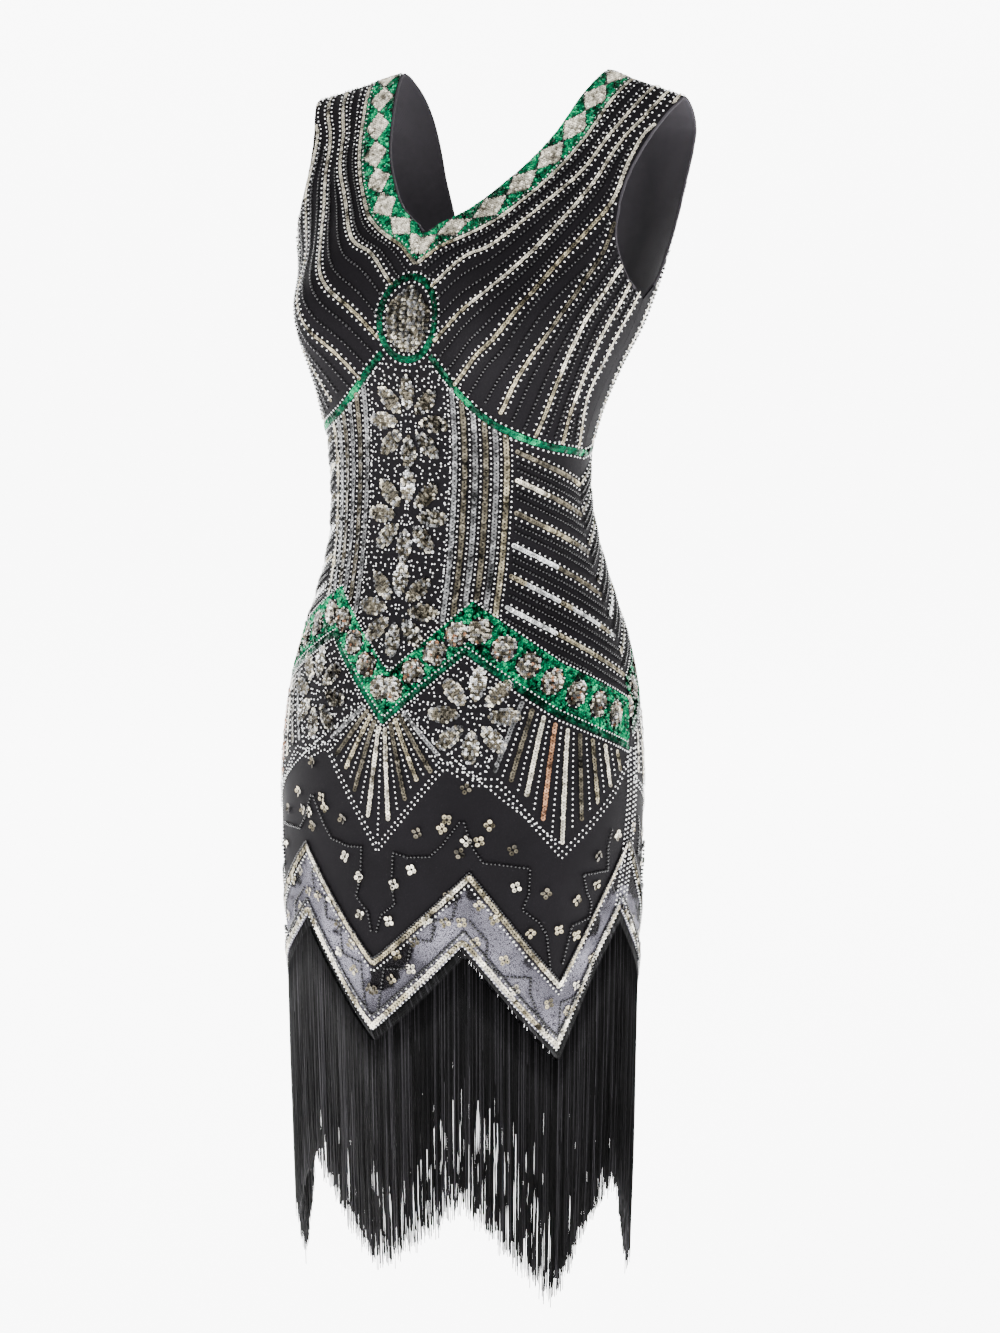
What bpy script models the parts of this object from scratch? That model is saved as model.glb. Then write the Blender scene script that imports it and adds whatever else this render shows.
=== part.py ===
"""Sleeveless V-necked evening dress: embroidered net over a knit lining, with a fringed zigzag hem.

Metres, +Z up. The front faces -Y and the wearer's left is +X. The origin lies midway between the two
shoulder seams, where the wearer's shoulders hold the dress. Every cloth layer is a wall that follows one
body form: sections from the shoulder seams down to the hem, swelled at the bust and rippled by folds.
"""

import math
from collections import namedtuple

import bmesh
import bpy
import numpy as np

# Cloth and seams
NET_THICK = 0.0012
LAYER_GAP = 0.0004
LINING_THICK = 0.0010
SEAM_GAP = 0.0004
NET_DEPTH = LAYER_GAP + LINING_THICK + NET_THICK

# The top of the form, and how far the shoulder seam falls and leans forward on its way out
TOP = 0.002
NECK_POINT_X = 0.103
SHOULDER_FALL = 0.28
SHOULDER_LEAN = 0.16
SHOULDER_FADE = 0.050
ROUNDNESS = 2.2

# Heights of the cut
FRONT_V = -0.130
BACK_V = -0.228
UNDERARM = -0.176
SKIRT_LINE = -0.575
LOWEST_SECTION = -0.860

# Half width, and the places along Y of the side, the centre front and the centre back, at each height.
# seam_turn is how far behind the side the side seam runs, in degrees.
Section = namedtuple("Section", "height half_width side front back seam_turn")
SECTIONS = (
    Section(TOP, 0.224, -0.012, 0.000, 0.000, 0.0),
    Section(-0.005, 0.226, -0.016, -0.015, 0.014, 0.0),
    Section(-0.022, 0.226, -0.021, -0.034, 0.029, 0.0),
    Section(-0.046, 0.220, -0.029, -0.054, 0.041, 0.0),
    Section(-0.068, 0.211, -0.034, -0.074, 0.048, 0.0),
    Section(-0.090, 0.200, -0.038, -0.094, 0.053, 0.0),
    Section(-0.110, 0.190, -0.040, -0.112, 0.056, 0.0),
    Section(FRONT_V, 0.180, -0.042, -0.129, 0.057, 0.0),
    Section(-0.153, 0.170, -0.044, -0.141, 0.053, 0.0),
    Section(UNDERARM, 0.163, -0.047, -0.149, 0.047, 0.0),
    Section(-0.205, 0.154, -0.053, -0.155, 0.038, 0.0),
    Section(-0.240, 0.140, -0.065, -0.157, 0.023, 1.0),
    Section(-0.279, 0.128, -0.077, -0.155, 0.008, 2.0),
    Section(-0.318, 0.119, -0.080, -0.155, 0.007, 3.0),
    Section(-0.357, 0.117, -0.077, -0.159, 0.016, 3.0),
    Section(-0.396, 0.121, -0.070, -0.165, 0.028, 3.0),
    Section(-0.434, 0.131, -0.067, -0.174, 0.039, 4.0),
    Section(-0.478, 0.146, -0.067, -0.186, 0.049, 5.0),
    Section(-0.527, 0.158, -0.071, -0.198, 0.055, 5.0),
    Section(-0.590, 0.165, -0.075, -0.205, 0.057, 4.0),
    Section(-0.645, 0.165, -0.077, -0.209, 0.059, 2.0),
    Section(-0.700, 0.161, -0.075, -0.214, 0.067, 0.0),
    Section(-0.770, 0.155, -0.073, -0.219, 0.077, 0.0),
    Section(LOWEST_SECTION, 0.152, -0.072, -0.219, 0.079, 0.0),
)

# Distance of the neck edge and of the armhole edge from the centre line, above the V and the underarm
Edge = namedtuple("Edge", "height neck_front arm_front neck_back arm_back")
EDGES = (
    Edge(TOP, 0.103, 0.180, 0.103, 0.180),
    Edge(-0.005, 0.099, 0.179, 0.101, 0.180),
    Edge(-0.022, 0.092, 0.174, 0.097, 0.178),
    Edge(-0.046, 0.083, 0.167, 0.093, 0.175),
    Edge(-0.068, 0.071, 0.160, 0.091, 0.171),
    Edge(-0.090, 0.053, 0.156, 0.089, 0.166),
    Edge(-0.110, 0.032, 0.156, 0.085, 0.163),
    Edge(FRONT_V, 0.000, 0.157, 0.080, 0.161),
    Edge(-0.153, 0.000, 0.160, 0.069, 0.160),
    Edge(UNDERARM, 0.000, 0.163, 0.052, 0.163),
    Edge(-0.202, 0.000, 0.163, 0.029, 0.163),
    Edge(BACK_V, 0.000, 0.163, 0.000, 0.163),
)

# The bust: two soft swellings of the front
BUST_X = 0.095
BUST_HEIGHT = -0.193
BUST_PROUD = 0.035
BUST_SPREAD = 0.042
BUST_RISE = 0.047
BUST_FALL = 0.062
BUST_OUT = 0.35

# Soft folds of the skirt: ridges where proud is positive, troughs where it is negative. Angles run from the
# centre front towards the wearer's left, and each fold grows from its start down to the hem.
Fold = namedtuple("Fold", "angle width start proud")
FOLDS = (
    Fold(-158, 13, -0.56, 0.0050),
    Fold(-124, 11, -0.60, -0.0045),
    Fold(-96, 10, -0.52, 0.0040),
    Fold(-70, 9, -0.62, -0.0040),
    Fold(-44, 10, -0.58, 0.0050),
    Fold(-16, 9, -0.64, -0.0035),
    Fold(12, 10, -0.60, 0.0040),
    Fold(37, 8, -0.66, -0.0050),
    Fold(58, 9, -0.56, 0.0045),
    Fold(80, 8, -0.60, -0.0045),
    Fold(104, 10, -0.54, 0.0050),
    Fold(133, 12, -0.62, -0.0050),
    Fold(165, 12, -0.58, 0.0035),
)
FOLD_FULL = -0.800

# The zigzag hems, at the four ends of the legs of each half panel
Zigzag = namedtuple("Zigzag", "centre inner_peak outer_point side_peak")
NET_HEM = Zigzag(-0.797, -0.712, -0.812, -0.702)
LINING_HEM = Zigzag(-0.740, -0.655, -0.756, -0.645)

# The grid of a panel: columns on each side of its centre, three to each leg of the zigzag. The legs end
# at these shares of the way from the centre to the side.
LEG_ENDS = (0.0, 0.305, 0.690, 1.0)
LEG_COLUMNS = 3
COLUMNS = 3 * LEG_COLUMNS
LINING_ROWS = 5
NET_ROWS = 2
ROW_HEIGHTS = (
    TOP, -0.005, -0.022, -0.046, -0.068, -0.090, -0.110, FRONT_V, -0.153, -0.166, UNDERARM, -0.202, BACK_V,
    -0.256, -0.285, -0.315, -0.347, -0.380, -0.415, -0.452, -0.490, -0.532, SKIRT_LINE,
)

# Fringe: a tape under the net's hem, and the threads that hang from it, gathered in locks
TAPE_GAP = 0.0010
TAPE_HEIGHT = 0.011
TAPE_THICK = 0.0018
LOCKS_PER_LEG = 15
LOCK_LENGTH_SWING = 0.010
LOCK_TAPER = 0.60
LOCK_LEAN_IN = 0.004
LOCK_SWAY = 0.0012

# Mean length of the locks at each turn of the zigzag, from the wearer's right seam to the left seam
FRONT_LENGTHS = (0.240, 0.246, 0.218, 0.212, 0.230, 0.224, 0.245)
BACK_LENGTHS = (0.240, 0.262, 0.250, 0.250, 0.250, 0.262, 0.245)


def down_scale(height):
    """A measure of depth that spreads the rounded top of the form out evenly."""
    return np.sqrt(np.maximum(TOP - np.asarray(height, float), 0.0))


def smooth_table(rows, column, height):
    """One column of a table at any height, on a smooth curve through its rows."""
    knots = down_scale([row.height for row in rows])
    values = np.array([getattr(row, column) for row in rows])
    steps = np.diff(values) / np.diff(knots)
    tangents = np.concatenate([steps[:1], (steps[1:] + steps[:-1]) / 2, steps[-1:]])
    t = np.clip(down_scale(height), knots[0], knots[-1])
    i = np.clip(np.searchsorted(knots, t, side="right") - 1, 0, len(knots) - 2)
    span = knots[i + 1] - knots[i]
    f = (t - knots[i]) / span
    return (
        values[i] * (1 + 2 * f) * (1 - f) ** 2
        + tangents[i] * span * f * (1 - f) ** 2
        + values[i + 1] * f**2 * (3 - 2 * f)
        + tangents[i + 1] * span * f**2 * (f - 1)
    )


def bust_swell(x, height):
    """How far the bust stands in front of the plain form."""
    rise = np.where(height > BUST_HEIGHT, BUST_RISE, BUST_FALL)
    along = np.exp(-(((height - BUST_HEIGHT) / rise) ** 2))
    left = np.exp(-(((x - BUST_X) / BUST_SPREAD) ** 2))
    right = np.exp(-(((x + BUST_X) / BUST_SPREAD) ** 2))
    return BUST_PROUD * along * (left + right)


def fold_swell(angle, height):
    """How far the skirt's folds stand out of the plain form; angle in degrees."""
    proud = np.zeros_like(np.asarray(angle, float) + np.asarray(height, float))
    for fold in FOLDS:
        away = (angle - fold.angle + 180.0) % 360.0 - 180.0
        grown = np.clip((fold.start - height) / (fold.start - FOLD_FULL), 0.0, 1.0)
        proud = proud + fold.proud * np.exp(-((away / fold.width) ** 2)) * grown**1.5
    return proud


def form_point(angle, height):
    """The outer face of the dress: angle in degrees from the centre front towards the wearer's left."""
    turn = np.radians(angle)
    sine, cosine = np.sin(turn), np.cos(turn)
    across = np.sign(sine) * np.abs(sine) ** (2 / ROUNDNESS)
    along = np.abs(cosine) ** (2 / ROUNDNESS)
    half_width = smooth_table(SECTIONS, "half_width", height)
    side = smooth_table(SECTIONS, "side", height)
    front = smooth_table(SECTIONS, "front", height)
    back = smooth_table(SECTIONS, "back", height)
    in_front = cosine >= 0
    x = half_width * across
    y = side + along * np.where(in_front, front - side, back - side)
    bust = np.where(in_front, along, 0.0) * bust_swell(x, height)
    folds = fold_swell(angle, height)
    x = x + bust * BUST_OUT * across + folds * across
    y = y - bust - folds * np.sign(cosine) * along
    fade = np.clip(1 - (TOP - height) / SHOULDER_FADE, 0.0, 1.0)
    past_neck = (np.abs(x) - NECK_POINT_X) * fade
    return np.stack([x, y - past_neck * SHOULDER_LEAN, height - past_neck * SHOULDER_FALL], -1)


def form_normal(angle, height):
    """The direction straight out of the cloth."""
    small_turn, small_drop = 0.2, 0.0004
    round_it = form_point(angle + small_turn, height) - form_point(angle - small_turn, height)
    down = form_point(angle, height - small_drop) - form_point(angle, height + small_drop)
    out = np.cross(down, round_it)
    upright = np.array([SHOULDER_FALL * np.sign(np.sin(np.radians(angle))), 0.0, 1.0])
    if height >= TOP - small_drop:
        out = upright
    return out / np.linalg.norm(out)


def angle_at(x, height, back):
    """The angle at which the form is x from the centre line."""
    reach = min(1.0, abs(x) / float(smooth_table(SECTIONS, "half_width", height)))
    turn = math.degrees(math.asin(reach ** (ROUNDNESS / 2)))
    return 180.0 - turn if back else turn


def panel_angles(height, back):
    """Where a half panel starts, at its centre or neck edge, and ends, at its armhole edge or side seam."""
    seam = 90.0 + float(smooth_table(SECTIONS, "seam_turn", height))
    gap = math.degrees(SEAM_GAP / 2 / float(smooth_table(SECTIONS, "half_width", height)))
    outer = seam + gap if back else seam - gap
    inner = 180.0 if back else 0.0
    name = "back" if back else "front"
    if height > (BACK_V if back else FRONT_V):
        inner = angle_at(float(smooth_table(EDGES, "neck_" + name, height)), height, back)
    if height > UNDERARM:
        outer = angle_at(float(smooth_table(EDGES, "arm_" + name, height)), height, back)
    return inner, outer


def column_share(column):
    """How far a column of the grid, or a place between two, is across its half panel; -1 to 1."""
    legs = np.arange(4) * LEG_COLUMNS
    return math.copysign(float(np.interp(abs(column), legs, LEG_ENDS)), column)


def hem_height(hem, share):
    """The height of a zigzag hem at a share of the way from the panel's centre to its side."""
    return float(np.interp(abs(share), LEG_ENDS, hem))


def cloth_point(share, height, back, depth):
    """A point of a panel, depth under the dress's outer face. share runs from -1 to 1 across the panel."""
    inner, outer = panel_angles(height, back)
    angle = math.copysign(inner + (outer - inner) * abs(share), share)
    point = form_point(angle, height) - form_normal(angle, height) * depth
    if height >= TOP:
        point[1] += SEAM_GAP / 2 if back else -SEAM_GAP / 2
    return point


def panel_rows(with_net):
    """For each row of a panel, the height as a function of the share across it."""
    rows = [lambda share, height=height: height for height in ROW_HEIGHTS]
    for step in range(1, LINING_ROWS + 1):
        down = step / LINING_ROWS
        rows.append(lambda share, down=down: SKIRT_LINE + (hem_height(LINING_HEM, share) - SKIRT_LINE) * down)
    for step in range(1, NET_ROWS + 1 if with_net else 1):
        hem = [a + (b - a) * step / NET_ROWS for a, b in zip(LINING_HEM, NET_HEM)]
        rows.append(lambda share, hem=hem: hem_height(hem, share))
    return rows


def thicken(mesh, outward):
    """Makes a sheet of faces into a wall: each vertex's outward move is the thickness there."""
    made = bmesh.ops.extrude_face_region(mesh, geom=mesh.faces[:])
    for vertex in (item for item in made["geom"] if isinstance(item, bmesh.types.BMVert)):
        vertex.co = vertex.co + vertex[outward]
    bmesh.ops.recalc_face_normals(mesh, faces=mesh.faces[:])


def add_node(name, mesh, material):
    data = bpy.data.meshes.new(name)
    mesh.to_mesh(data)
    mesh.free()
    data.materials.append(material)
    data.shade_smooth()
    data.set_sharp_from_angle(angle=math.radians(50))
    node = bpy.data.objects.new(name, data)
    bpy.context.scene.collection.objects.link(node)
    return node


def make_panel(name, material, with_net, back, inner_depth, outer_depth):
    """A front or back panel from the shoulder seams to its zigzag hem, open in a V above its neck point."""
    mesh = bmesh.new()
    outward = mesh.verts.layers.float_vector.new("outward")
    v_height = BACK_V if back else FRONT_V
    grid = []
    for height_of in panel_rows(with_net):
        row = {}
        for column in range(-COLUMNS, COLUMNS + 1):
            share = column_share(column)
            height = height_of(share)
            sides = (-1, 1) if column == 0 and height > v_height else (0,)
            for side in sides:
                near_centre = share or side * 1e-9
                inside = cloth_point(near_centre, height, back, inner_depth)
                vertex = mesh.verts.new(inside)
                vertex[outward] = cloth_point(near_centre, height, back, outer_depth) - inside
                row[column, side] = vertex
        grid.append(row)
    for upper, lower in zip(grid, grid[1:]):
        for column in range(-COLUMNS, COLUMNS):
            side = 1 if column >= 0 else -1
            corners = [
                row.get((place, side if place == 0 else 0)) or row[place, 0]
                for row, place in ((upper, column), (lower, column), (lower, column + 1), (upper, column + 1))
            ]
            first = 0 if column >= 0 else 1
            for corner in (first, first + 2):
                mesh.faces.new([corners[(corner + step) % 4] for step in range(3)])
    thicken(mesh, outward)
    return add_node(name, mesh, material)


def hem_point(place, back, depth):
    """A point of the net's hem: place is in columns of the panel's grid, and the hem runs straight between two."""
    near = min(int(abs(place)), COLUMNS - 1)
    ends = []
    for column in (near, near + 1):
        share = math.copysign(max(column_share(column), 1e-9), place)
        ends.append(cloth_point(share, hem_height(NET_HEM, share), back, depth))
    return ends[0] + (ends[1] - ends[0]) * (abs(place) - near)


def lock_wander(index):
    """A repeatable uneven number from -1 to 1 for each lock of the fringe."""
    return math.sin(index * 12.9898 + 4.1) * math.cos(index * 4.137)


def make_fringe(name, material, back):
    """A tape that follows the net's hem, with the locks of thread drawn straight down out of its lower edge."""
    mesh = bmesh.new()
    outward = mesh.verts.layers.float_vector.new("outward")
    foot = mesh.verts.layers.int.new("foot")
    columns = 3 * LOCKS_PER_LEG * 2
    top_edge, low_edge = [], []
    for column in range(-columns, columns + 1):
        place = column * COLUMNS / columns
        inside = hem_point(place, back, NET_DEPTH)
        outside = hem_point(place, back, NET_DEPTH - TAPE_THICK)
        for edge, drop in ((top_edge, TAPE_GAP), (low_edge, TAPE_GAP + TAPE_HEIGHT)):
            vertex = mesh.verts.new(inside - np.array([0.0, 0.0, drop]))
            vertex[outward] = outside - inside
            vertex[foot] = column + columns + 1 if edge is low_edge else 0
            edge.append(vertex)
    for i in range(2 * columns):
        mesh.faces.new((top_edge[i], low_edge[i], low_edge[i + 1], top_edge[i + 1]))
    thicken(mesh, outward)
    lengths = BACK_LENGTHS if back else FRONT_LENGTHS
    feet = {}
    for face in mesh.faces:
        marks = sorted(vertex[foot] for vertex in face.verts)
        if marks[0] > 0 and marks[0] % 2 == 0:
            feet[marks[0]] = face
    for index, mark in enumerate(sorted(feet)):
        drawn = bmesh.ops.extrude_discrete_faces(mesh, faces=[feet[mark]])["faces"][0]
        middle = np.mean([vertex.co for vertex in drawn.verts], axis=0)
        place = (mark - 0.5 - columns) * COLUMNS / columns
        lean = (hem_point(place, back, NET_DEPTH) - hem_point(place, back, 0.0)) * LOCK_LEAN_IN / NET_DEPTH
        sway = np.array([lock_wander(index), lock_wander(index + 7), 0.0]) * LOCK_SWAY
        mean_length = np.interp(place, range(-COLUMNS, COLUMNS + 1, LEG_COLUMNS), lengths)
        length = mean_length + LOCK_LENGTH_SWING * lock_wander(index + 31)
        end = middle + lean + sway
        end[2] = middle[2] - length
        for vertex in drawn.verts:
            from_middle = np.array(vertex.co) - middle
            from_middle[2] = 0.0
            vertex.co = end + from_middle * LOCK_TAPER
    return add_node(name, mesh, material)


def cloth_material(name, colour, roughness):
    material = bpy.data.materials.new(name)
    material.use_nodes = True
    shader = material.node_tree.nodes["Principled BSDF"]
    shader.inputs["Base Color"].default_value = (*colour, 1.0)
    shader.inputs["Roughness"].default_value = roughness
    shader.inputs["Metallic"].default_value = 0.0
    return material


def main():
    for old in list(bpy.data.objects):
        bpy.data.objects.remove(old)
    net = cloth_material("black_net", (0.030, 0.028, 0.034), 0.60)
    knit = cloth_material("black_knit", (0.022, 0.020, 0.025), 0.75)
    thread = cloth_material("black_thread", (0.012, 0.012, 0.013), 0.45)
    lining_out = NET_THICK + LAYER_GAP
    for back, word in ((False, "front"), (True, "back")):
        make_panel(f"net_{word}", net, True, back, NET_THICK, 0.0)
        make_panel(f"lining_{word}", knit, False, back, lining_out + LINING_THICK, lining_out)
        make_fringe(f"fringe_{word}", thread, back)


main()
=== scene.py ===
"""The looks of the fringed evening dress: cloth shells, beadwork, sequins, trims and threads.

Metres, +Z up, front facing -Y, the wearer's left at +X. Beadwork is laid out on a flat chart of the cloth:
across is the distance along the cloth from the centre front or back, positive towards the wearer's left,
and depth is the distance down from the shoulder seams. Both are in millimetres in the tables.
"""

import math
from collections import namedtuple

import bmesh
import bpy
import numpy as np
from mathutils import Matrix, Vector


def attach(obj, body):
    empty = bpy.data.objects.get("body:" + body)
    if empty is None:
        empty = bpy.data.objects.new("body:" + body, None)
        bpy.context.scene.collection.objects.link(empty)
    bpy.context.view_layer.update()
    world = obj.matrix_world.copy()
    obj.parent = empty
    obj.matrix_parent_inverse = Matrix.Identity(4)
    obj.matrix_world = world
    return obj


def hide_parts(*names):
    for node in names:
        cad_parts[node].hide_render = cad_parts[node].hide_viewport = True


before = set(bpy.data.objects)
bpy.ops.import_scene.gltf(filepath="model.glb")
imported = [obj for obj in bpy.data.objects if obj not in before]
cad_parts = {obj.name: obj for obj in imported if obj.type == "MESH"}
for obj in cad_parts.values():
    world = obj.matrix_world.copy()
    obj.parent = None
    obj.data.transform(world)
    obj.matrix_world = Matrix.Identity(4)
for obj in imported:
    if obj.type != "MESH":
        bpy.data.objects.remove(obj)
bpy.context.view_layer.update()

MM = 0.001
chance = np.random.default_rng(1926)

# ---------------------------------------------------------------- the body form, as in the part's source

NET_THICK = 0.0012
LAYER_GAP = 0.0004
LINING_THICK = 0.0010
SEAM_GAP = 0.0004
TOP = 0.002
NECK_POINT_X = 0.103
SHOULDER_FALL = 0.28
SHOULDER_LEAN = 0.16
SHOULDER_FADE = 0.050
ROUNDNESS = 2.2
FRONT_V = -0.130
BACK_V = -0.228
UNDERARM = -0.176
SKIRT_LINE = -0.575
LOWEST_SECTION = -0.860
PANEL_WORDS = {False: "front", True: "back"}
V_POINTS = {False: FRONT_V, True: BACK_V}

Section = namedtuple("Section", "height half_width side front back seam_turn")
SECTIONS = (
    Section(TOP, 0.224, -0.012, 0.000, 0.000, 0.0),
    Section(-0.005, 0.226, -0.016, -0.015, 0.014, 0.0),
    Section(-0.022, 0.226, -0.021, -0.034, 0.029, 0.0),
    Section(-0.046, 0.220, -0.029, -0.054, 0.041, 0.0),
    Section(-0.068, 0.211, -0.034, -0.074, 0.048, 0.0),
    Section(-0.090, 0.200, -0.038, -0.094, 0.053, 0.0),
    Section(-0.110, 0.190, -0.040, -0.112, 0.056, 0.0),
    Section(FRONT_V, 0.180, -0.042, -0.129, 0.057, 0.0),
    Section(-0.153, 0.170, -0.044, -0.141, 0.053, 0.0),
    Section(UNDERARM, 0.163, -0.047, -0.149, 0.047, 0.0),
    Section(-0.205, 0.154, -0.053, -0.155, 0.038, 0.0),
    Section(-0.240, 0.140, -0.065, -0.157, 0.023, 1.0),
    Section(-0.279, 0.128, -0.077, -0.155, 0.008, 2.0),
    Section(-0.318, 0.119, -0.080, -0.155, 0.007, 3.0),
    Section(-0.357, 0.117, -0.077, -0.159, 0.016, 3.0),
    Section(-0.396, 0.121, -0.070, -0.165, 0.028, 3.0),
    Section(-0.434, 0.131, -0.067, -0.174, 0.039, 4.0),
    Section(-0.478, 0.146, -0.067, -0.186, 0.049, 5.0),
    Section(-0.527, 0.158, -0.071, -0.198, 0.055, 5.0),
    Section(-0.590, 0.165, -0.075, -0.205, 0.057, 4.0),
    Section(-0.645, 0.165, -0.077, -0.209, 0.059, 2.0),
    Section(-0.700, 0.161, -0.075, -0.214, 0.067, 0.0),
    Section(-0.770, 0.155, -0.073, -0.219, 0.077, 0.0),
    Section(LOWEST_SECTION, 0.152, -0.072, -0.219, 0.079, 0.0),
)

Edge = namedtuple("Edge", "height neck_front arm_front neck_back arm_back")
EDGES = (
    Edge(TOP, 0.103, 0.180, 0.103, 0.180),
    Edge(-0.005, 0.099, 0.179, 0.101, 0.180),
    Edge(-0.022, 0.092, 0.174, 0.097, 0.178),
    Edge(-0.046, 0.083, 0.167, 0.093, 0.175),
    Edge(-0.068, 0.071, 0.160, 0.091, 0.171),
    Edge(-0.090, 0.053, 0.156, 0.089, 0.166),
    Edge(-0.110, 0.032, 0.156, 0.085, 0.163),
    Edge(FRONT_V, 0.000, 0.157, 0.080, 0.161),
    Edge(-0.153, 0.000, 0.160, 0.069, 0.160),
    Edge(UNDERARM, 0.000, 0.163, 0.052, 0.163),
    Edge(-0.202, 0.000, 0.163, 0.029, 0.163),
    Edge(BACK_V, 0.000, 0.163, 0.000, 0.163),
)

BUST_X = 0.095
BUST_HEIGHT = -0.193
BUST_PROUD = 0.035
BUST_SPREAD = 0.042
BUST_RISE = 0.047
BUST_FALL = 0.062
BUST_OUT = 0.35

# Soft folds of the skirt: ridges where proud is positive, troughs where it is negative. Angles run from the
# centre front towards the wearer's left, and each fold grows from its start down to the hem.
Fold = namedtuple("Fold", "angle width start proud")
FOLDS = (
    Fold(-158, 13, -0.56, 0.0050),
    Fold(-124, 11, -0.60, -0.0045),
    Fold(-96, 10, -0.52, 0.0040),
    Fold(-70, 9, -0.62, -0.0040),
    Fold(-44, 10, -0.58, 0.0050),
    Fold(-16, 9, -0.64, -0.0035),
    Fold(12, 10, -0.60, 0.0040),
    Fold(37, 8, -0.66, -0.0050),
    Fold(58, 9, -0.56, 0.0045),
    Fold(80, 8, -0.60, -0.0045),
    Fold(104, 10, -0.54, 0.0050),
    Fold(133, 12, -0.62, -0.0050),
    Fold(165, 12, -0.58, 0.0035),
)
FOLD_FULL = -0.800
FOLD_GROWTH = 1.5

Zigzag = namedtuple("Zigzag", "centre inner_peak outer_point side_peak")
LEG_ENDS = (0.0, 0.305, 0.690, 1.0)
NET_HEM = Zigzag(-0.797, -0.712, -0.812, -0.702)
LINING_HEM = Zigzag(-0.740, -0.655, -0.756, -0.645)


def down_scale(height):
    """A measure of depth that spreads the rounded top of the form out evenly."""
    return np.sqrt(np.maximum(TOP - np.asarray(height, float), 0.0))


def eased(start, end, start_run, end_run, f):
    """A share f of the way from start to end, on a smooth curve with the given slopes at its ends."""
    return (
        start * (1 + 2 * f) * (1 - f) ** 2
        + start_run * f * (1 - f) ** 2
        + end * f**2 * (3 - 2 * f)
        + end_run * f**2 * (f - 1)
    )


def smooth_table(rows, column, height):
    """One column of a table at any height, on a smooth curve through its rows."""
    knots = down_scale([row.height for row in rows])
    values = np.array([getattr(row, column) for row in rows])
    steps = np.diff(values) / np.diff(knots)
    tangents = np.concatenate([steps[:1], (steps[1:] + steps[:-1]) / 2, steps[-1:]])
    t = np.clip(down_scale(height), knots[0], knots[-1])
    i = np.clip(np.searchsorted(knots, t, side="right") - 1, 0, len(knots) - 2)
    span = knots[i + 1] - knots[i]
    f = (t - knots[i]) / span
    return eased(values[i], values[i + 1], tangents[i] * span, tangents[i + 1] * span, f)


def bust_swell(x, height):
    """How far the bust lifts the cloth off the sections."""
    rise = np.where(height > BUST_HEIGHT, BUST_RISE, BUST_FALL)
    along = np.exp(-(((height - BUST_HEIGHT) / rise) ** 2))
    sides = np.exp(-(((x - BUST_X) / BUST_SPREAD) ** 2)) + np.exp(-(((x + BUST_X) / BUST_SPREAD) ** 2))
    return BUST_PROUD * along * sides


def fold_swell(angle, height):
    """How far the skirt's folds lift the cloth or let it sink."""
    proud = np.zeros(np.broadcast(angle, height).shape)
    for fold in FOLDS:
        away = (angle - fold.angle + 180.0) % 360.0 - 180.0
        grown = np.clip((fold.start - height) / (fold.start - FOLD_FULL), 0.0, 1.0)
        proud = proud + fold.proud * np.exp(-((away / fold.width) ** 2)) * grown**FOLD_GROWTH
    return proud


def form_point(angle, height):
    """The outer face of the cloth at an angle in degrees from the centre front towards the wearer's left."""
    turn = np.radians(angle)
    sine, cosine = np.sin(turn), np.cos(turn)
    across = np.sign(sine) * np.abs(sine) ** (2 / ROUNDNESS)
    along = np.abs(cosine) ** (2 / ROUNDNESS)
    half_width = smooth_table(SECTIONS, "half_width", height)
    side = smooth_table(SECTIONS, "side", height)
    front = smooth_table(SECTIONS, "front", height)
    back = smooth_table(SECTIONS, "back", height)
    x = half_width * across
    y = side + along * np.where(cosine >= 0, front - side, back - side)
    bust = np.where(cosine >= 0, along, 0.0) * bust_swell(x, height)
    folds = fold_swell(angle, height)
    x = x + bust * BUST_OUT * across + folds * across
    y = y - bust - folds * np.sign(cosine) * along
    fade = np.clip(1 - (TOP - height) / SHOULDER_FADE, 0.0, 1.0)
    past_neck = (np.abs(x) - NECK_POINT_X) * fade
    return np.stack([x, y - past_neck * SHOULDER_LEAN, height - past_neck * SHOULDER_FALL], -1)


def form_normal(angle, height):
    """The direction straight out of the cloth."""
    small_turn, small_drop = 0.2, 0.0004
    height = np.minimum(height, TOP - small_drop)
    round_it = form_point(angle + small_turn, height) - form_point(angle - small_turn, height)
    down = form_point(angle, height - small_drop) - form_point(angle, height + small_drop)
    out = np.cross(down, round_it)
    return out / np.linalg.norm(out, axis=-1, keepdims=True)


def angle_at(x, height, back):
    """The angle at which the form is x from the centre line."""
    reach = np.minimum(1.0, np.abs(x) / smooth_table(SECTIONS, "half_width", height))
    turn = np.degrees(np.arcsin(reach ** (ROUNDNESS / 2)))
    return 180.0 - turn if back else turn


def panel_angles(height, back):
    """Where a half panel starts, at its centre or neck edge, and ends, at its armhole edge or side seam."""
    seam = 90.0 + smooth_table(SECTIONS, "seam_turn", height)
    gap = np.degrees(SEAM_GAP / 2 / smooth_table(SECTIONS, "half_width", height))
    neck = angle_at(smooth_table(EDGES, "neck_" + PANEL_WORDS[back], height), height, back)
    arm = angle_at(smooth_table(EDGES, "arm_" + PANEL_WORDS[back], height), height, back)
    inner = np.where(height > V_POINTS[back], neck, 180.0 if back else 0.0)
    outer = np.where(height > UNDERARM, arm, seam + gap if back else seam - gap)
    return inner, outer


def hem_height(hem, share):
    """The height of a zigzag hem at a share of the way from the panel's centre to its side."""
    return np.interp(np.abs(share), LEG_ENDS, hem)


# ---------------------------------------------------------------- the flat chart of the cloth

CHART_DROPS = np.linspace(0.0, math.sqrt(TOP - LOWEST_SECTION), 260)
CHART_ANGLES = np.linspace(-180.0, 180.0, 721)
CHART_REACH = 0.420
EDGE_MARGIN = 1.5
EDGE_POINTS = 90
SIDESTEP = 6.0
EVENED_OVER = 9


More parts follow.
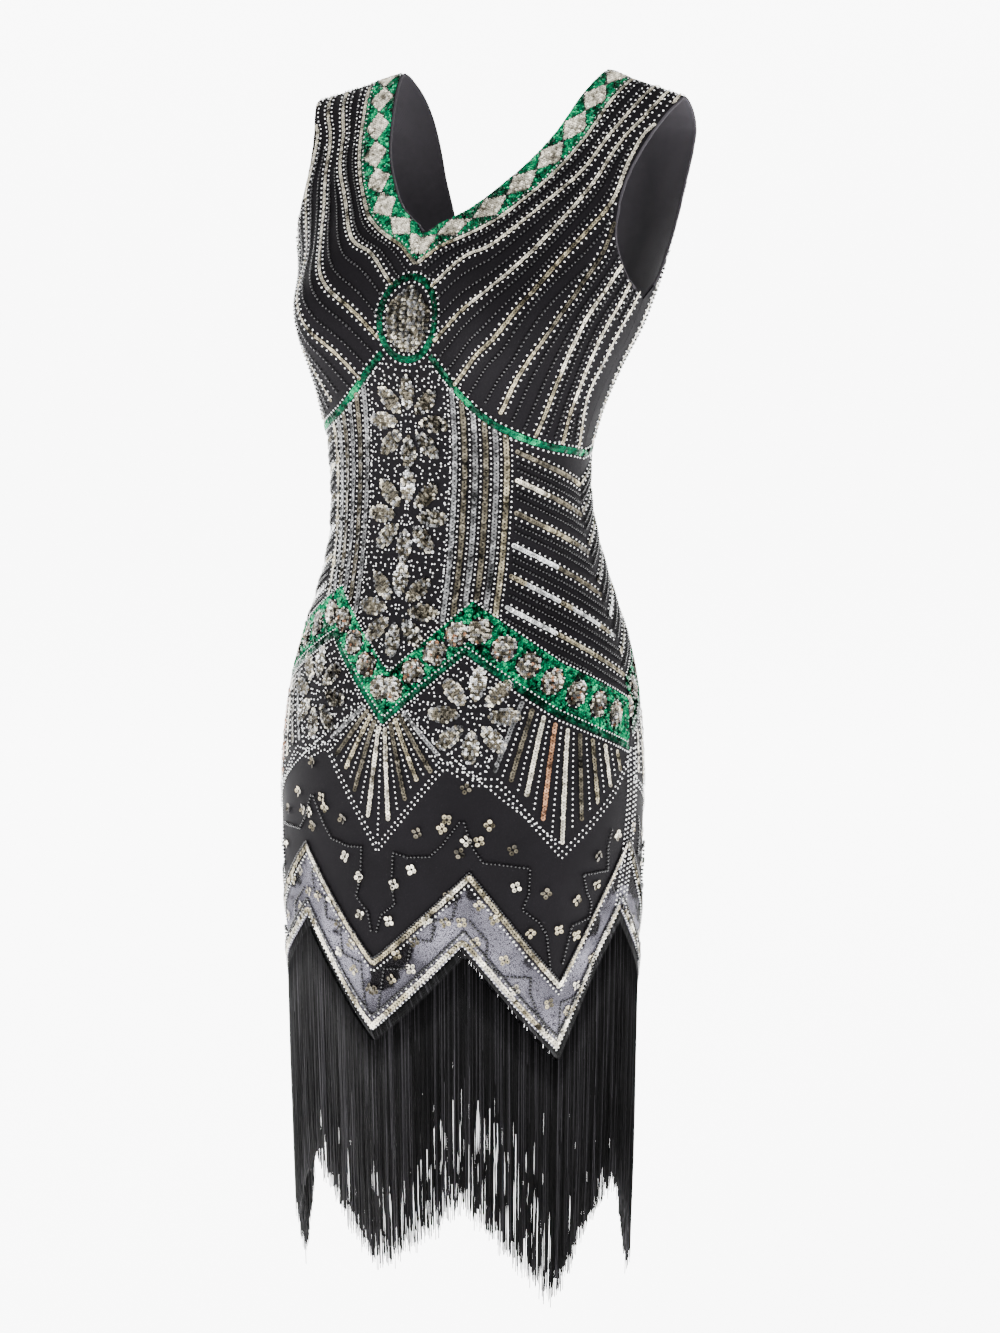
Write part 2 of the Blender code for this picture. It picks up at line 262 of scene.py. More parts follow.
def measure_chart():
    """For each row of the chart, the length of cloth from the centre front to each angle."""
    angles, drops = np.meshgrid(CHART_ANGLES, CHART_DROPS)
    points = form_point(angles, TOP - drops**2)
    steps = np.linalg.norm(np.diff(points, axis=1), axis=2)
    lengths = np.concatenate([np.zeros((len(CHART_DROPS), 1)), np.cumsum(steps, axis=1)], axis=1)
    return lengths - lengths[:, len(CHART_ANGLES) // 2][:, None]


CHART = measure_chart()
REACHES = np.arange(-CHART_REACH, CHART_REACH + MM / 2, MM)
ANGLES_FRONT = np.array([np.interp(REACHES, lengths, CHART_ANGLES) for lengths in CHART])
ANGLES_BACK = np.array([
    180.0 - np.sign(REACHES) * (180.0 - np.interp(lengths[-1] - np.abs(REACHES), lengths, CHART_ANGLES))
    for lengths in CHART
])


def chart_row(height):
    """Which row of the chart lies at a height, with its fraction."""
    return np.interp(down_scale(height), CHART_DROPS, np.arange(len(CHART_DROPS)))


def chart_angle(across, height, back):
    """The angle of a place that is across from the panel's centre, in metres along the cloth."""
    across, height = np.broadcast_arrays(np.asarray(across, float), np.asarray(height, float))
    table = ANGLES_BACK if back else ANGLES_FRONT
    row = chart_row(height)
    column = np.interp(across, REACHES, np.arange(len(REACHES)))
    top = np.minimum(row.astype(int), table.shape[0] - 2)
    left = np.minimum(column.astype(int), table.shape[1] - 2)
    down, along = row - top, column - left
    upper = table[top, left] * (1 - along) + table[top, left + 1] * along
    lower = table[top + 1, left] * (1 - along) + table[top + 1, left + 1] * along
    angle = upper * (1 - down) + lower * down
    return np.where(angle > 180.0, angle - 360.0, angle)


def chart_across(angle, height, back):
    """How far a place at an angle on the wearer's left is from the panel's centre, in millimetres."""
    rows = chart_row(height).astype(int)
    lengths = np.array([np.interp(a, CHART_ANGLES, CHART[row]) for a, row in zip(angle, rows)])
    return (CHART[rows, -1] - lengths if back else lengths) / MM


def on_cloth(across, depth, back, lift=0.0):
    """Points and outward directions at places of the chart, in millimetres, lifted off the cloth."""
    height = -np.asarray(depth, float) * MM
    angle = chart_angle(np.asarray(across, float) * MM, height, back)
    normal = form_normal(angle, height)
    return form_point(angle, height) + normal * (lift * MM), normal


def on_panel(across, depth, back):
    """Which places of the chart are cloth, with a margin to the neck, the armhole and the side."""
    height = -np.asarray(depth, float) * MM
    inner, outer = panel_angles(height, back)
    angle = np.abs(chart_angle(np.asarray(across, float) * MM, height, back))
    spare = np.degrees(EDGE_MARGIN * MM / smooth_table(SECTIONS, "half_width", height))
    neck_spare = np.where(height > V_POINTS[back], spare, -1.0)
    if back:
        return (angle < inner - neck_spare) & (angle > outer + spare) & (height < TOP)
    return (angle > inner + neck_spare) & (angle < outer - spare) & (height < TOP)


def edge_path(word, back):
    """The neck or armhole edge of the wearer's left half panel, on the chart, from the shoulder down."""
    lowest = V_POINTS[back] if word == "neck" else UNDERARM
    height = TOP - np.linspace(0.004, math.sqrt(TOP - lowest), EDGE_POINTS) ** 2
    inner, outer = panel_angles(height, back)
    angle = inner if word == "neck" else outer
    return np.stack([chart_across(angle, height, back), -height / MM], -1)


def smooth_path(points, steps=16):
    """A curve through a few points, rounded between them."""
    points = np.asarray(points, float)
    tangents = np.gradient(points, axis=0)
    f = np.linspace(0.0, 1.0, steps, endpoint=False)[:, None]
    runs = [eased(*ends, f) for ends in zip(points, points[1:], tangents, tangents[1:])]
    return np.vstack(runs + [points[-1:]])


def straight_path(points, steps=12):
    """A line with corners at the given points."""
    points = np.asarray(points, float)
    f = np.linspace(0.0, 1.0, steps, endpoint=False)[:, None]
    return np.vstack([a + (b - a) * f for a, b in zip(points, points[1:])] + [points[-1:]])


def beside(path, offset, back=False):
    """The path moved sideways, square to it on the cloth: positive is towards its left when it runs down."""
    place = np.stack([path[:, 0], np.sqrt(np.maximum(TOP / MM + path[:, 1], 0.0))], -1)

    def at(across, drop):
        return on_cloth(across, drop**2 - TOP / MM, back)[0] / MM

    offset = np.broadcast_to(offset, len(path))
    steps = max(1, math.ceil(np.abs(offset).max() / SIDESTEP))
    half = EVENED_OVER // 2
    for _ in range(steps):
        along_across = at(place[:, 0] + 0.5, place[:, 1]) - at(place[:, 0] - 0.5, place[:, 1])
        drop = np.maximum(place[:, 1], 0.25)
        along_drop = (at(place[:, 0], drop + 0.05) - at(place[:, 0], drop - 0.05)) / 0.1
        e = (along_across * along_across).sum(1)
        f = (along_across * along_drop).sum(1)
        g = (along_drop * along_drop).sum(1)
        run = np.pad(np.gradient(place, axis=0), ((half, half), (0, 0)), "edge")
        weights = np.ones(EVENED_OVER) / EVENED_OVER
        run = np.stack([np.convolve(run[:, column], weights, "valid") for column in (0, 1)], -1)
        move = np.stack([f * run[:, 0] + g * run[:, 1], -(e * run[:, 0] + f * run[:, 1])], -1)
        length = np.sqrt(e * move[:, 0] ** 2 + 2 * f * move[:, 0] * move[:, 1] + g * move[:, 1] ** 2)
        place = place + move / np.maximum(length, 1e-9)[:, None] * offset[:, None] / steps
        place[:, 1] = np.maximum(place[:, 1], 0.0)
    return np.stack([place[:, 0], place[:, 1] ** 2 - TOP / MM], -1)


def lowered(path, drop):
    """The path moved down, in millimetres of the chart."""
    return path + np.array((0.0, drop))


def nearest(places, others):
    """How far each place is from the nearest of the others."""
    return np.sqrt(((places[:, None] - others[None]) ** 2).sum(2)).min(1)


def grid_of(columns, rows, shift=0.0, first=1):
    """Every place of a grid, row by row, with every other row from the first one on shifted sideways."""
    grid = np.stack(np.meshgrid(columns, rows), -1)
    grid[first::2, :, 0] += shift
    return grid.reshape(-1, 2)


def spaced(path, spacing, back=False, start=0.5):
    """Places along a path at an even spacing in millimetres, measured on the cloth."""
    points, _ = on_cloth(path[:, 0], path[:, 1], back)
    lengths = np.concatenate([[0.0], np.cumsum(np.linalg.norm(np.diff(points, axis=0), axis=1))]) / MM
    places = np.arange(spacing * start, lengths[-1], spacing)
    return np.stack([np.interp(places, lengths, path[:, column]) for column in (0, 1)], -1)


# ---------------------------------------------------------------- sewing beads and sequins on

WHITE_BEAD = 1.85
BLACK_BEAD = 2.9
BEAD_SEAT = 0.42
SEQUIN = 3.4
SEQUIN_STEP = 2.1
SEQUIN_LIFT = 0.7
ROW_TILT = 0.16
BORDER_SPACING = 5.3
PLACE_SPREAD = 0.10
SIZE_RANGE = (0.93, 1.07)
BOTH_SIDES = (1, -1)

# How big a bead or sequin is, how far its middle stands off the cloth, and how much it leans, in millimetres
# and as a share
Style = namedtuple("Style", "size lift tilt", defaults=(0.0,))
SCATTERED_BEAD = Style(1.75, 0.8)

Stitch = namedtuple("Stitch", "point normal along size")
sewn = {}


def sew(kind, places, back, style, runs=None, both=True):
    """Sews one kind of bead or sequin at places of the chart, and at their mirror images."""
    places = np.asarray(places, float).reshape(-1, 2)
    if not len(places):
        return
    keep = on_panel(places[:, 0], places[:, 1], back)
    places = places[keep]
    runs = None if runs is None else np.asarray(runs, float)[keep]
    if not len(places):
        return
    for side in BOTH_SIDES if both else (1,):
        shift = chance.normal(0.0, PLACE_SPREAD, places.shape)
        across = side * (places[:, 0] + shift[:, 0])
        depth = places[:, 1] + shift[:, 1]
        point, normal = on_cloth(across, depth, back, style.lift)
        if runs is None:
            turn = chance.uniform(0.0, 2 * math.pi, len(places))
            run = np.stack([np.cos(turn), np.sin(turn)], -1)
        else:
            run = runs
        ahead, _ = on_cloth(across + side * run[:, 0] * 0.5, depth + run[:, 1] * 0.5, back, style.lift)
        along = ahead - point
        along -= normal * (along * normal).sum(1, keepdims=True)
        along /= np.maximum(np.linalg.norm(along, axis=1, keepdims=True), 1e-12)
        lean = np.zeros((len(places), 2))
        if style.tilt:
            lean = chance.normal(0.0, style.tilt, lean.shape)
        beside_it = np.cross(normal, along)
        normal = normal + along * (lean[:, :1] - style.tilt) + beside_it * lean[:, 1:]
        normal /= np.linalg.norm(normal, axis=1, keepdims=True)
        sizes = style.size * MM / 2 * chance.uniform(*SIZE_RANGE, len(places))
        sewn.setdefault((kind, back), []).append(Stitch(point, normal, along, sizes))


def run_of(path):
    """The direction in which a path runs at each of its places."""
    run = np.gradient(path, axis=0)
    return run / np.maximum(np.linalg.norm(run, axis=1, keepdims=True), 1e-9)


def sequin_row(path, kind, back, size=SEQUIN, step=SEQUIN_STEP):
    """A row of overlapping sequins along a path."""
    places = spaced(path, step, back)
    if len(places) > 1:
        sew(kind, places, back, Style(size, SEQUIN_LIFT, ROW_TILT), run_of(places))


def mixed_row(path, kinds, back, size, step, stretch, start=0.0):
    """A row of overlapping sequins that changes between two kinds, a stretch of each, in millimetres."""
    places = spaced(path, step, back)
    runs = run_of(places)
    turns = (np.arange(len(places)) * step / sum(stretch) + start) % 1.0
    first = turns < stretch[0] / sum(stretch)
    for kind, chosen in zip(kinds, (first, ~first)):
        sew(kind, places[chosen], back, Style(size, SEQUIN_LIFT, ROW_TILT), runs[chosen])


def bead_row(path, kind, back, spacing=4.9, size=None, both=True):
    """A row of beads along a path, with gaps between them."""
    size = size or (WHITE_BEAD if kind == "white_beads" else BLACK_BEAD)
    sew(kind, spaced(path, spacing, back), back, Style(size, size * BEAD_SEAT), both=both)


def bordered_row(path, kinds, back, stretch, reach=3.5, size=SEQUIN):
    """A row of sequins in stretches of two kinds, with a row of white beads on each side."""
    mixed_row(path, kinds, back, size, SEQUIN_STEP, stretch)
    for side in BOTH_SIDES:
        bead_row(beside(path, side * reach, back), "white_beads", back, BORDER_SPACING)


def between(path_a, path_b, share):
    """A path part of the way from one path to another."""
    count = 60
    picks = [path[np.linspace(0, len(path) - 1, count).astype(int)] for path in (path_a, path_b)]
    return picks[0] + (picks[1] - picks[0]) * share


def streaky(line, shared, own):
    """A number between 0 and 1 for each place, partly shared by the places on one line."""
    return shared * chance.uniform(0.0, 1.0, line.max() + 1)[line] + own * chance.uniform(0.0, 1.0, len(line))


def shared_out(pick, mix):
    """Each kind of a mix with the places whose pick falls under its limit and over the one before."""
    low = 0.0
    for kind, high in mix:
        yield kind, (pick >= low) & (pick < high)
        low = high


# ---------------------------------------------------------------- tables of the beadwork

# Rows of sequins that sweep from the shoulder or armhole round the bust
Sweep = namedtuple("Sweep", "kind points")
FRONT_SWEEPS = (
    Sweep("champagne_sequins", (
        (160, -1.9), (146, 22), (132, 50), (120, 78), (102, 100), (70, 135), (45, 147), (19, 171),
    )),
    Sweep("champagne_sequins", (
        (175, -1.9), (155, 35), (142, 60), (134, 85), (122, 110), (105, 140), (82, 170), (52, 192), (27, 214),
    )),
    Sweep("champagne_sequins", (
        (187, -1.9), (172, 32), (161, 52), (156, 75), (154, 100), (145, 120),
        (130, 147), (117, 175), (95, 205), (70, 225), (47, 248),
    )),
    Sweep("bronze_sequins", (
        (161, 113), (162, 140), (159, 162), (155, 180), (140, 202), (117, 225), (100, 245), (84, 271),
    )),
    Sweep("champagne_sequins", (
        (185, 140), (184, 160), (181, 180), (167, 205), (150, 227), (130, 255), (111, 290),
    )),
    Sweep("champagne_sequins", ((204, 160), (204, 185), (187, 212), (165, 240), (145, 270), (135, 297))),
    Sweep("champagne_sequins", ((224, 175), (220, 192), (195, 225), (170, 252), (160, 272), (155, 302))),
)
BACK_SWEEPS = (
    Sweep("champagne_sequins", (
        (160, -1.9), (146, 30), (136, 80), (128, 130), (112, 176), (88, 210), (56, 240), (30, 262),
    )),
    Sweep("champagne_sequins", (
        (175, -1.9), (160, 35), (150, 85), (143, 135), (130, 185), (108, 225), (80, 256), (58, 280),
    )),
    Sweep("champagne_sequins", (
        (187, -1.9), (175, 35), (164, 85), (158, 135), (147, 190), (128, 235), (106, 268), (92, 292),
    )),
    Sweep("bronze_sequins", ((176, 120), (172, 160), (162, 205), (145, 245), (128, 276), (118, 300))),
    Sweep("champagne_sequins", ((192, 160), (186, 195), (170, 235), (152, 270), (142, 303))),
)
UPPER_SWEEPS = 2
UPPER_STRETCH = (250.0, 100.0)
LOWER_STRETCH = (115.0, 235.0)
FILLING_SHARES = (0.33, 0.67)
FILLING_STEP = 3.7
FILLING_CLEAR = 5.2
FILLING_END = 6
STRAP_END = 62
ARM_ROW_IN = 2.0
BLACK_FILLING = Style(BLACK_BEAD, 0.9)
WHITE_FILLING = Style(WHITE_BEAD, 0.8)

FRONT_EMPIRE_LINE = (
    (0, 233), (24, 226), (37, 240), (52, 257), (70, 274),
    (90, 286), (120, 298), (145, 304), (168, 309), (200, 312),
)
BACK_EMPIRE_LINE = ((0, 262), (24, 268), (52, 284), (80, 296), (110, 304), (145, 308), (200, 312))
EMPIRE_STRETCH = (46.0, 19.0)
EMPIRE_SEQUIN = 3.2
EMPIRE_SEQUINS_OUT = 1.3
EMPIRE_BEADS_OUT = 4.2
CORSET_LINES = (43.5, 52.0, 61.0, 70.0, 78.5, 87.0)
CORSET_KINDS = (*("silver_sequins", "bronze_sequins") * 2, "silver_sequins", "gold_sequins")
CORSET_HALF = 4.4
SIDE_LINE_STARTS = (302, 326, 353, 380, 405, 430)
SIDE_LINE_INNER = 95.0
SIDE_LINE_OUTER = 245.0
SIDE_LINE_MIX = (
    (("bronze_sequins", "gold_sequins"), (60.0, 34.0)),
    (("champagne_sequins", "bronze_sequins"), (30.0, 120.0)),
    (("bronze_sequins", "gold_sequins"), (26.0, 40.0)),
    (("bright_sequins", "bronze_sequins"), (44.0, 180.0)),
    (("gold_sequins", "bright_sequins"), (14.0, 34.0)),
    (("bright_sequins", "gold_sequins"), (48.0, 180.0)),
)
SIDE_LINE_FALL = 0.50
SIDE_LINE_SEQUIN = 4.2
SIDE_LINE_BORDER = 3.7
BLACK_ROW_DROPS = (9.0, 15.0)
CENTRE_FLOWERS = (282, 360, 437)
HIP_BAND = ((0, 510), (67, 447), (150, 498), (240, 540))
HIP_BAND_HALF = 21.0
HIP_BORDER = 7.0
HIP_ROW_STEP = 2.7
HIP_FIRST_ROW = 1.5
HIP_GREEN = Style(3.3, SEQUIN_LIFT, 0.36)
HIP_BORDER_ROWS = (2.6, 5.2)
HIP_BEADS_OUT = 1.5
BORDER_BEADS_DOWN = 0.4
ROSETTE_STEP = 24.5
ROSETTE_REACH = 10.2
ROSETTE_PITCH = 1.9
ROSETTE_ROOM = 1.0
ROSETTE_TURN = 0.5
ROSETTE_RIM = 0.2
LOBE_LEAST = 0.80
LOBE_SWELL = 0.20
ROSETTE_SEQUIN = Style(3.0, 0.9, 0.32)
ROSETTE_BEADS = 9
ROSETTE_BEAD = Style(1.7, 0.8)
ROSETTE_MIX = (
    ("bronze_sequins", 0.48),
    ("champagne_sequins", 0.70),
    ("silver_sequins", 0.84),
    ("bright_sequins", 0.92),
    ("copper_sequins", 1.0),
)
LOW_FLOWER_PLACE = (81, 517)
BEADED_EDGE = ((0, 640), (60, 561), (85, 574), (106, 574), (162, 638), (217, 595), (245, 566))


def depth_at(corners, across):
    """The depth of a line of corners, the same on both sides of the centre."""
    return np.interp(np.abs(across), *zip(*corners))


def hip_middle(across):
    return depth_at(HIP_BAND, across)


def empire_depth(across, back):
    return depth_at(BACK_EMPIRE_LINE if back else FRONT_EMPIRE_LINE, across)


def beaded_depth(across):
    return depth_at(BEADED_EDGE, across)


# ---------------------------------------------------------------- neckline, straps and bodice

BAND_WIDTH = 26.0
BAND_TIP_SHARE = 0.70
BAND_FULL_AFTER = 55.0
BAND_FIRST_ROW = 1.5
BAND_ROW_STEP = 2.0
BAND_SEQUIN = Style(3.0, SEQUIN_LIFT, 0.2)
BAND_BEAD = 1.8
BAND_BEAD_ROWS = ((0.2, "white_beads", 3.0), (BAND_WIDTH, "black_beads", 2.6))
BAND_BORDER = 3.0
BAND_STRETCH = (210.0, 30.0)
MITRE_LENGTH = 60.0
TIP_POINTS = 14
CENTRE_LINE_GAP = 0.3
DIAMOND_STEP = 31.3
DIAMOND_START = -6.0
DIAMOND_LONG = 15.2
DIAMOND_WIDE = 11.0
DIAMOND_GAP = 1.12
OUTLINE_STEP = 1.2
OUTLINE_GROWN = 1.06
OUTLINE_BEAD = Style(1.5, 0.9)


def neckband_rows(back):
    """What gives a row of the neckband by its distance from the neck edge, and the band's length.

    The rows run on past the point of the V and are cut at the centre line, so the two sides meet in a mitre.
    """
    edge = spaced(edge_path("neck", back)[::-1], 1.0, back, start=0.0)
    tip_run = (edge[TIP_POINTS] - edge[0]) / np.linalg.norm(edge[TIP_POINTS] - edge[0])
    past = np.arange(MITRE_LENGTH, 0.0, -1.0)
    mitred = np.vstack([edge[0] - tip_run * past[:, None], edge])
    along = np.arange(len(mitred)) - float(len(past))
    narrowed = np.interp(along, (0.0, BAND_FULL_AFTER), (BAND_TIP_SHARE, 1.0))

    def row_at(distance):
        path = beside(mitred, -distance * narrowed, back)
        keep = path[:, 0] > CENTRE_LINE_GAP
        return path[keep], along[keep]

    return row_at, along[-1]


def sew_band_sequins(row_at, back):
    """Green rows with a row of champagne diamonds along the middle."""
    for row in np.arange(BAND_FIRST_ROW, BAND_WIDTH, BAND_ROW_STEP):
        path, path_along = row_at(row)
        places = spaced(path, SEQUIN_STEP, back)
        order = np.argsort(path[:, 0])
        place_along = np.interp(places[:, 0], path[order, 0], path_along[order])
        from_middle = (place_along - DIAMOND_START + DIAMOND_STEP / 2) % DIAMOND_STEP - DIAMOND_STEP / 2
        out = np.abs(from_middle) / DIAMOND_LONG + abs(row - BAND_WIDTH / 2) / DIAMOND_WIDE
        runs = run_of(places)
        for kind, chosen in (("green_sequins", out > DIAMOND_GAP), ("champagne_sequins", out < 1.0)):
            sew(kind, places[chosen], back, BAND_SEQUIN, runs[chosen])


def sew_diamond_outlines(row_at, length, back):
    """Small black beads round each diamond."""
    for row in np.arange(OUTLINE_STEP, BAND_WIDTH, OUTLINE_STEP):
        path, path_along = row_at(row)
        share = 1 - abs(row - BAND_WIDTH / 2) / (DIAMOND_WIDE * OUTLINE_GROWN)
        reach = DIAMOND_LONG * OUTLINE_GROWN * share
        if reach < 0:
            continue
        for middle in np.arange(DIAMOND_START, length + DIAMOND_LONG, DIAMOND_STEP):
            for end in (middle - reach, middle + reach):
                if path_along[0] < end < path_along[-1]:
                    place = [np.interp(end, path_along, path[:, column]) for column in (0, 1)]
                    sew("black_beads", place, back, OUTLINE_BEAD)


def sew_neckband(back):
    """The band along the neck edge and its border. Gives the border's path, from the shoulder down."""
    row_at, length = neckband_rows(back)
    sew_band_sequins(row_at, back)
    sew_diamond_outlines(row_at, length, back)
    for row, kind, spacing in BAND_BEAD_ROWS:
        bead_row(row_at(row)[0], kind, back, spacing, BAND_BEAD)
    border = row_at(BAND_WIDTH + BAND_BORDER)[0][::-1]
    bordered_row(border, ("champagne_sequins", "gold_sequins"), back, BAND_STRETCH)
    return border


def sew_bodice(back):
    """The neckband and the sweeps, with black beads between them, and white beads on the straps."""
    rows = [sew_neckband(back)]
    for index, sweep in enumerate(BACK_SWEEPS if back else FRONT_SWEEPS):
        path = smooth_path(sweep.points)
        stretch = UPPER_STRETCH if index < UPPER_SWEEPS else LOWER_STRETCH
        bordered_row(path, (sweep.kind, "gold_sequins"), back, stretch)
        rows.append(path)
    lines = np.vstack([spaced(row, 1.0, back) for row in rows])
    for one, other in zip(rows, rows[1:]):
        for share in FILLING_SHARES:
            places = spaced(between(one, other, share), FILLING_STEP, back)
            clear = nearest(places, lines) > FILLING_CLEAR
            clear &= places[:, 1] < empire_depth(places[:, 0], back) - FILLING_END
            strap = clear & (places[:, 1] < STRAP_END) & (np.arange(len(places)) % 2 == 0)
            sew("black_beads", places[clear & ~strap], back, BLACK_FILLING)
            sew("white_beads", places[strap], back, WHITE_FILLING)
    bead_row(beside(edge_path("arm", back), ARM_ROW_IN, back), "white_beads", back, spacing=3.0, size=1.6)


MEDALLION_CENTRE = np.array((0.0, 197.0))
MEDALLION_WIDE = 21.0
MEDALLION_TALL = 27.0
MEDALLION_COLUMN = 2.1
MEDALLION_ROW = 1.7
MEDALLION_TAPER = 1.25
MEDALLION_SEQUIN = Style(3.0, 0.9, 0.3)
RING_SEQUIN = Style(3.2, 0.8, ROW_TILT)
MEDALLION_MIX = (("bronze_sequins", 0.50), ("silver_sequins", 0.68), ("champagne_sequins", 1.0))
MEDALLION_RINGS = (
    (2.2, "white_beads"),
    (5.0, "dark_green_sequins"),
    (7.4, "dark_green_sequins"),
    (10.2, "white_beads"),
)


def sew_medallion():
    """An oval of bronze, silver and champagne sequins in a green ring, at the middle of the bust."""
    wide, tall, half_column = MEDALLION_WIDE, MEDALLION_TALL, MEDALLION_COLUMN / 2
    columns, rows = np.arange(-wide, wide, MEDALLION_COLUMN), np.arange(-tall, tall, MEDALLION_ROW)
    places = grid_of(columns, rows, half_column, first=0)
    narrow = wide * np.minimum(1.0, MEDALLION_TAPER * (1 + places[:, 1] / tall) ** 0.5)
    places = places[(places[:, 0] / narrow) ** 2 + (places[:, 1] / tall) ** 2 < 1]
    column = np.round((places[:, 0] + wide) / half_column).astype(int)
    for kind, chosen in shared_out(streaky(column, 0.5, 0.5), MEDALLION_MIX):
        runs = np.repeat(np.array(((0.0, 1.0),)), chosen.sum(), 0)
        sew(kind, MEDALLION_CENTRE + places[chosen], False, MEDALLION_SEQUIN, runs, both=False)
    turns = np.linspace(0.0, 2 * math.pi, 140)
    for grown, kind in MEDALLION_RINGS:
        oval = np.stack([np.sin(turns) * (wide + grown), -np.cos(turns) * (tall + grown)], -1)
        ring = MEDALLION_CENTRE + oval
        if kind == "white_beads":
            bead_row(ring, kind, False, both=False)
        else:
            places = spaced(ring, SEQUIN_STEP)
            sew(kind, places, False, RING_SEQUIN, run_of(places), both=False)


def sew_empire_line(back):
    """Two rows of mixed greens between white beads, under the bust."""
    path = smooth_path(BACK_EMPIRE_LINE if back else FRONT_EMPIRE_LINE[1:])
    for offset in (-EMPIRE_SEQUINS_OUT, EMPIRE_SEQUINS_OUT):
        greens = ("dark_green_sequins", "green_sequins")
        row = beside(path, offset, back)
        mixed_row(row, greens, back, EMPIRE_SEQUIN, SEQUIN_STEP, EMPIRE_STRETCH, start=0.2)
    for offset in (-EMPIRE_BEADS_OUT, EMPIRE_BEADS_OUT):
        bead_row(beside(path, offset, back), "white_beads", back)


# ---------------------------------------------------------------- flowers, corset, side rows and hip band

PETALS = 8
FLASHING_PETALS = (0, 3, 4)
Flower = namedtuple("Flower", "inner outer wide")
CENTRE_FLOWER = Flower(11.0, 39.5, 13.5)
CENTRE_FLOWER_ROOM = Flower(9.5, 41.5, 15.5)
LOW_FLOWER = Flower(12.0, 40.0, 13.0)
LOW_FLOWER_ROOM = Flower(10.0, 42.0, 15.0)
PETAL_STEP = 1.8
PETAL_START = 0.8
PETAL_LINES = 6.8
PETAL_EDGE = 0.94
PETAL_SEQUIN = Style(2.9, 0.8, 0.34)
RIM_PALE = 0.60
HEART_PALE = 0.20
HEART_PALE_STEP = 0.06
FLASH_SHARE = 0.20
CREAM_SHARE = 0.42
CENTRE_PITCH = 5.3
HOLLOW_PITCH = 4.9
SCATTER_ROWS = 0.87
SCATTER_SPREAD = 0.42
CENTRE_AREA = ((0.0, 230.0), (40.0, 545.0))
HOLLOW_AREA = ((20.0, 460.0), (150.0, 600.0))
UNDER_EMPIRE = 5
OVER_BAND = 3
UNDER_BAND = 4
OVER_EDGE = 3
CORSET_GAPS = (4, 2)
SIDE_ROW_GAP = 5


def petals():
    """The number and the direction of each petal of a flower."""
    for petal in range(PETALS):
        angle = math.radians(petal * 360.0 / PETALS)
        yield petal, np.array((math.sin(angle), -math.cos(angle)))


def sew_flower(centre, flower, back, both=True):
    """Eight oval petals, each filled with short rows of sequins."""
    length = flower.outer - flower.inner
    for petal, axis in petals():
        side = np.array((axis[1], -axis[0]))
        lines = np.arange(-3, 4) * flower.wide / PETAL_LINES
        grid = grid_of(np.arange(PETAL_START, length, PETAL_STEP), lines)
        reach = (2 * grid[:, 0] / length - 1) ** 2 + (2 * grid[:, 1] / flower.wide) ** 2
        grid, reach = grid[reach < PETAL_EDGE], reach[reach < PETAL_EDGE]
        places = np.asarray(centre, float) + axis * (flower.inner + grid[:, :1]) + side * grid[:, 1:]
        row = np.round((grid[:, 0] - PETAL_START) / PETAL_STEP).astype(int)
        pale_share = np.where(reach > 0.5, RIM_PALE, HEART_PALE + HEART_PALE_STEP * (petal % 3))
        pale = streaky(row, 0.55, 0.45) < pale_share
        flash = (petal in FLASHING_PETALS) & (chance.uniform(0.0, 1.0, len(places)) < FLASH_SHARE)
        cream = chance.uniform(0.0, 1.0, len(places)) < CREAM_SHARE
        for kind, chosen in (
            ("champagne_sequins", pale & cream & ~flash),
            ("silver_sequins", pale & ~cream & ~flash),
            ("bronze_sequins", ~pale & ~flash),
            ("bright_sequins", flash),
        ):
            runs = np.repeat(axis[None], chosen.sum(), 0)
            sew(kind, places[chosen], back, PETAL_SEQUIN, runs, both=both)


def in_flower(places, centre, flower):
    """Which places lie on a petal."""
    hit = np.zeros(len(places), bool)
    for _, axis in petals():
        away = places - np.asarray(centre, float)
        run = away @ axis
        side = away @ np.array((axis[1], -axis[0]))
        share = 2 * (run - flower.inner) / (flower.outer - flower.inner) - 1
        hit |= (share**2 + (2 * side / flower.wide) ** 2) < 1
    return hit


def scattered(low, high, pitch):
    """Uneven places all over a rectangle of the chart."""
    columns, rows = np.arange(low[0], high[0], pitch), np.arange(low[1], high[1], pitch * SCATTER_ROWS)
    places = grid_of(columns, rows, pitch / 2)
    return places + chance.uniform(-SCATTER_SPREAD, SCATTER_SPREAD, places.shape) * pitch


def above_band(places, gap):
    """Which places lie above the hip band, and at least the gap away from it."""
    return places[:, 1] < hip_middle(places[:, 0]) - HIP_BAND_HALF - gap


def sew_centre_panel(back):
    """Scattered white beads round the flowers down the middle, three in front and two at the back."""
    centres = [(0.0, depth) for depth in (CENTRE_FLOWERS[1:] if back else CENTRE_FLOWERS)]
    for centre in centres:
        sew_flower(centre, CENTRE_FLOWER, back, both=False)
    places = scattered(*CENTRE_AREA, CENTRE_PITCH)
    keep = places[:, 1] > empire_depth(places[:, 0], back) + UNDER_EMPIRE
    keep &= above_band(places, OVER_BAND)
    for centre in centres:
        keep &= ~in_flower(places, centre, CENTRE_FLOWER_ROOM)
    sew("white_beads", places[keep], back, SCATTERED_BEAD)


def corset_line(across, back):
    """An upright line from the empire line down to the hip band."""
    under, over = CORSET_GAPS
    top, bottom = empire_depth(across, back) + under, hip_middle(across) - HIP_BAND_HALF - over
    return straight_path(((across, top), (across, bottom)))


def sew_corset(back):
    """Upright rows of sequins beside the centre panel, with white beads between them."""
    for across in (*(line - CORSET_HALF for line in CORSET_LINES), CORSET_LINES[-1] + CORSET_HALF):
        bead_row(corset_line(across, back), "white_beads", back, spacing=4.3, size=1.7)
    for across, kind in zip(CORSET_LINES, CORSET_KINDS):
        sequin_row(corset_line(across, back), kind, back, size=5.0, step=2.8)


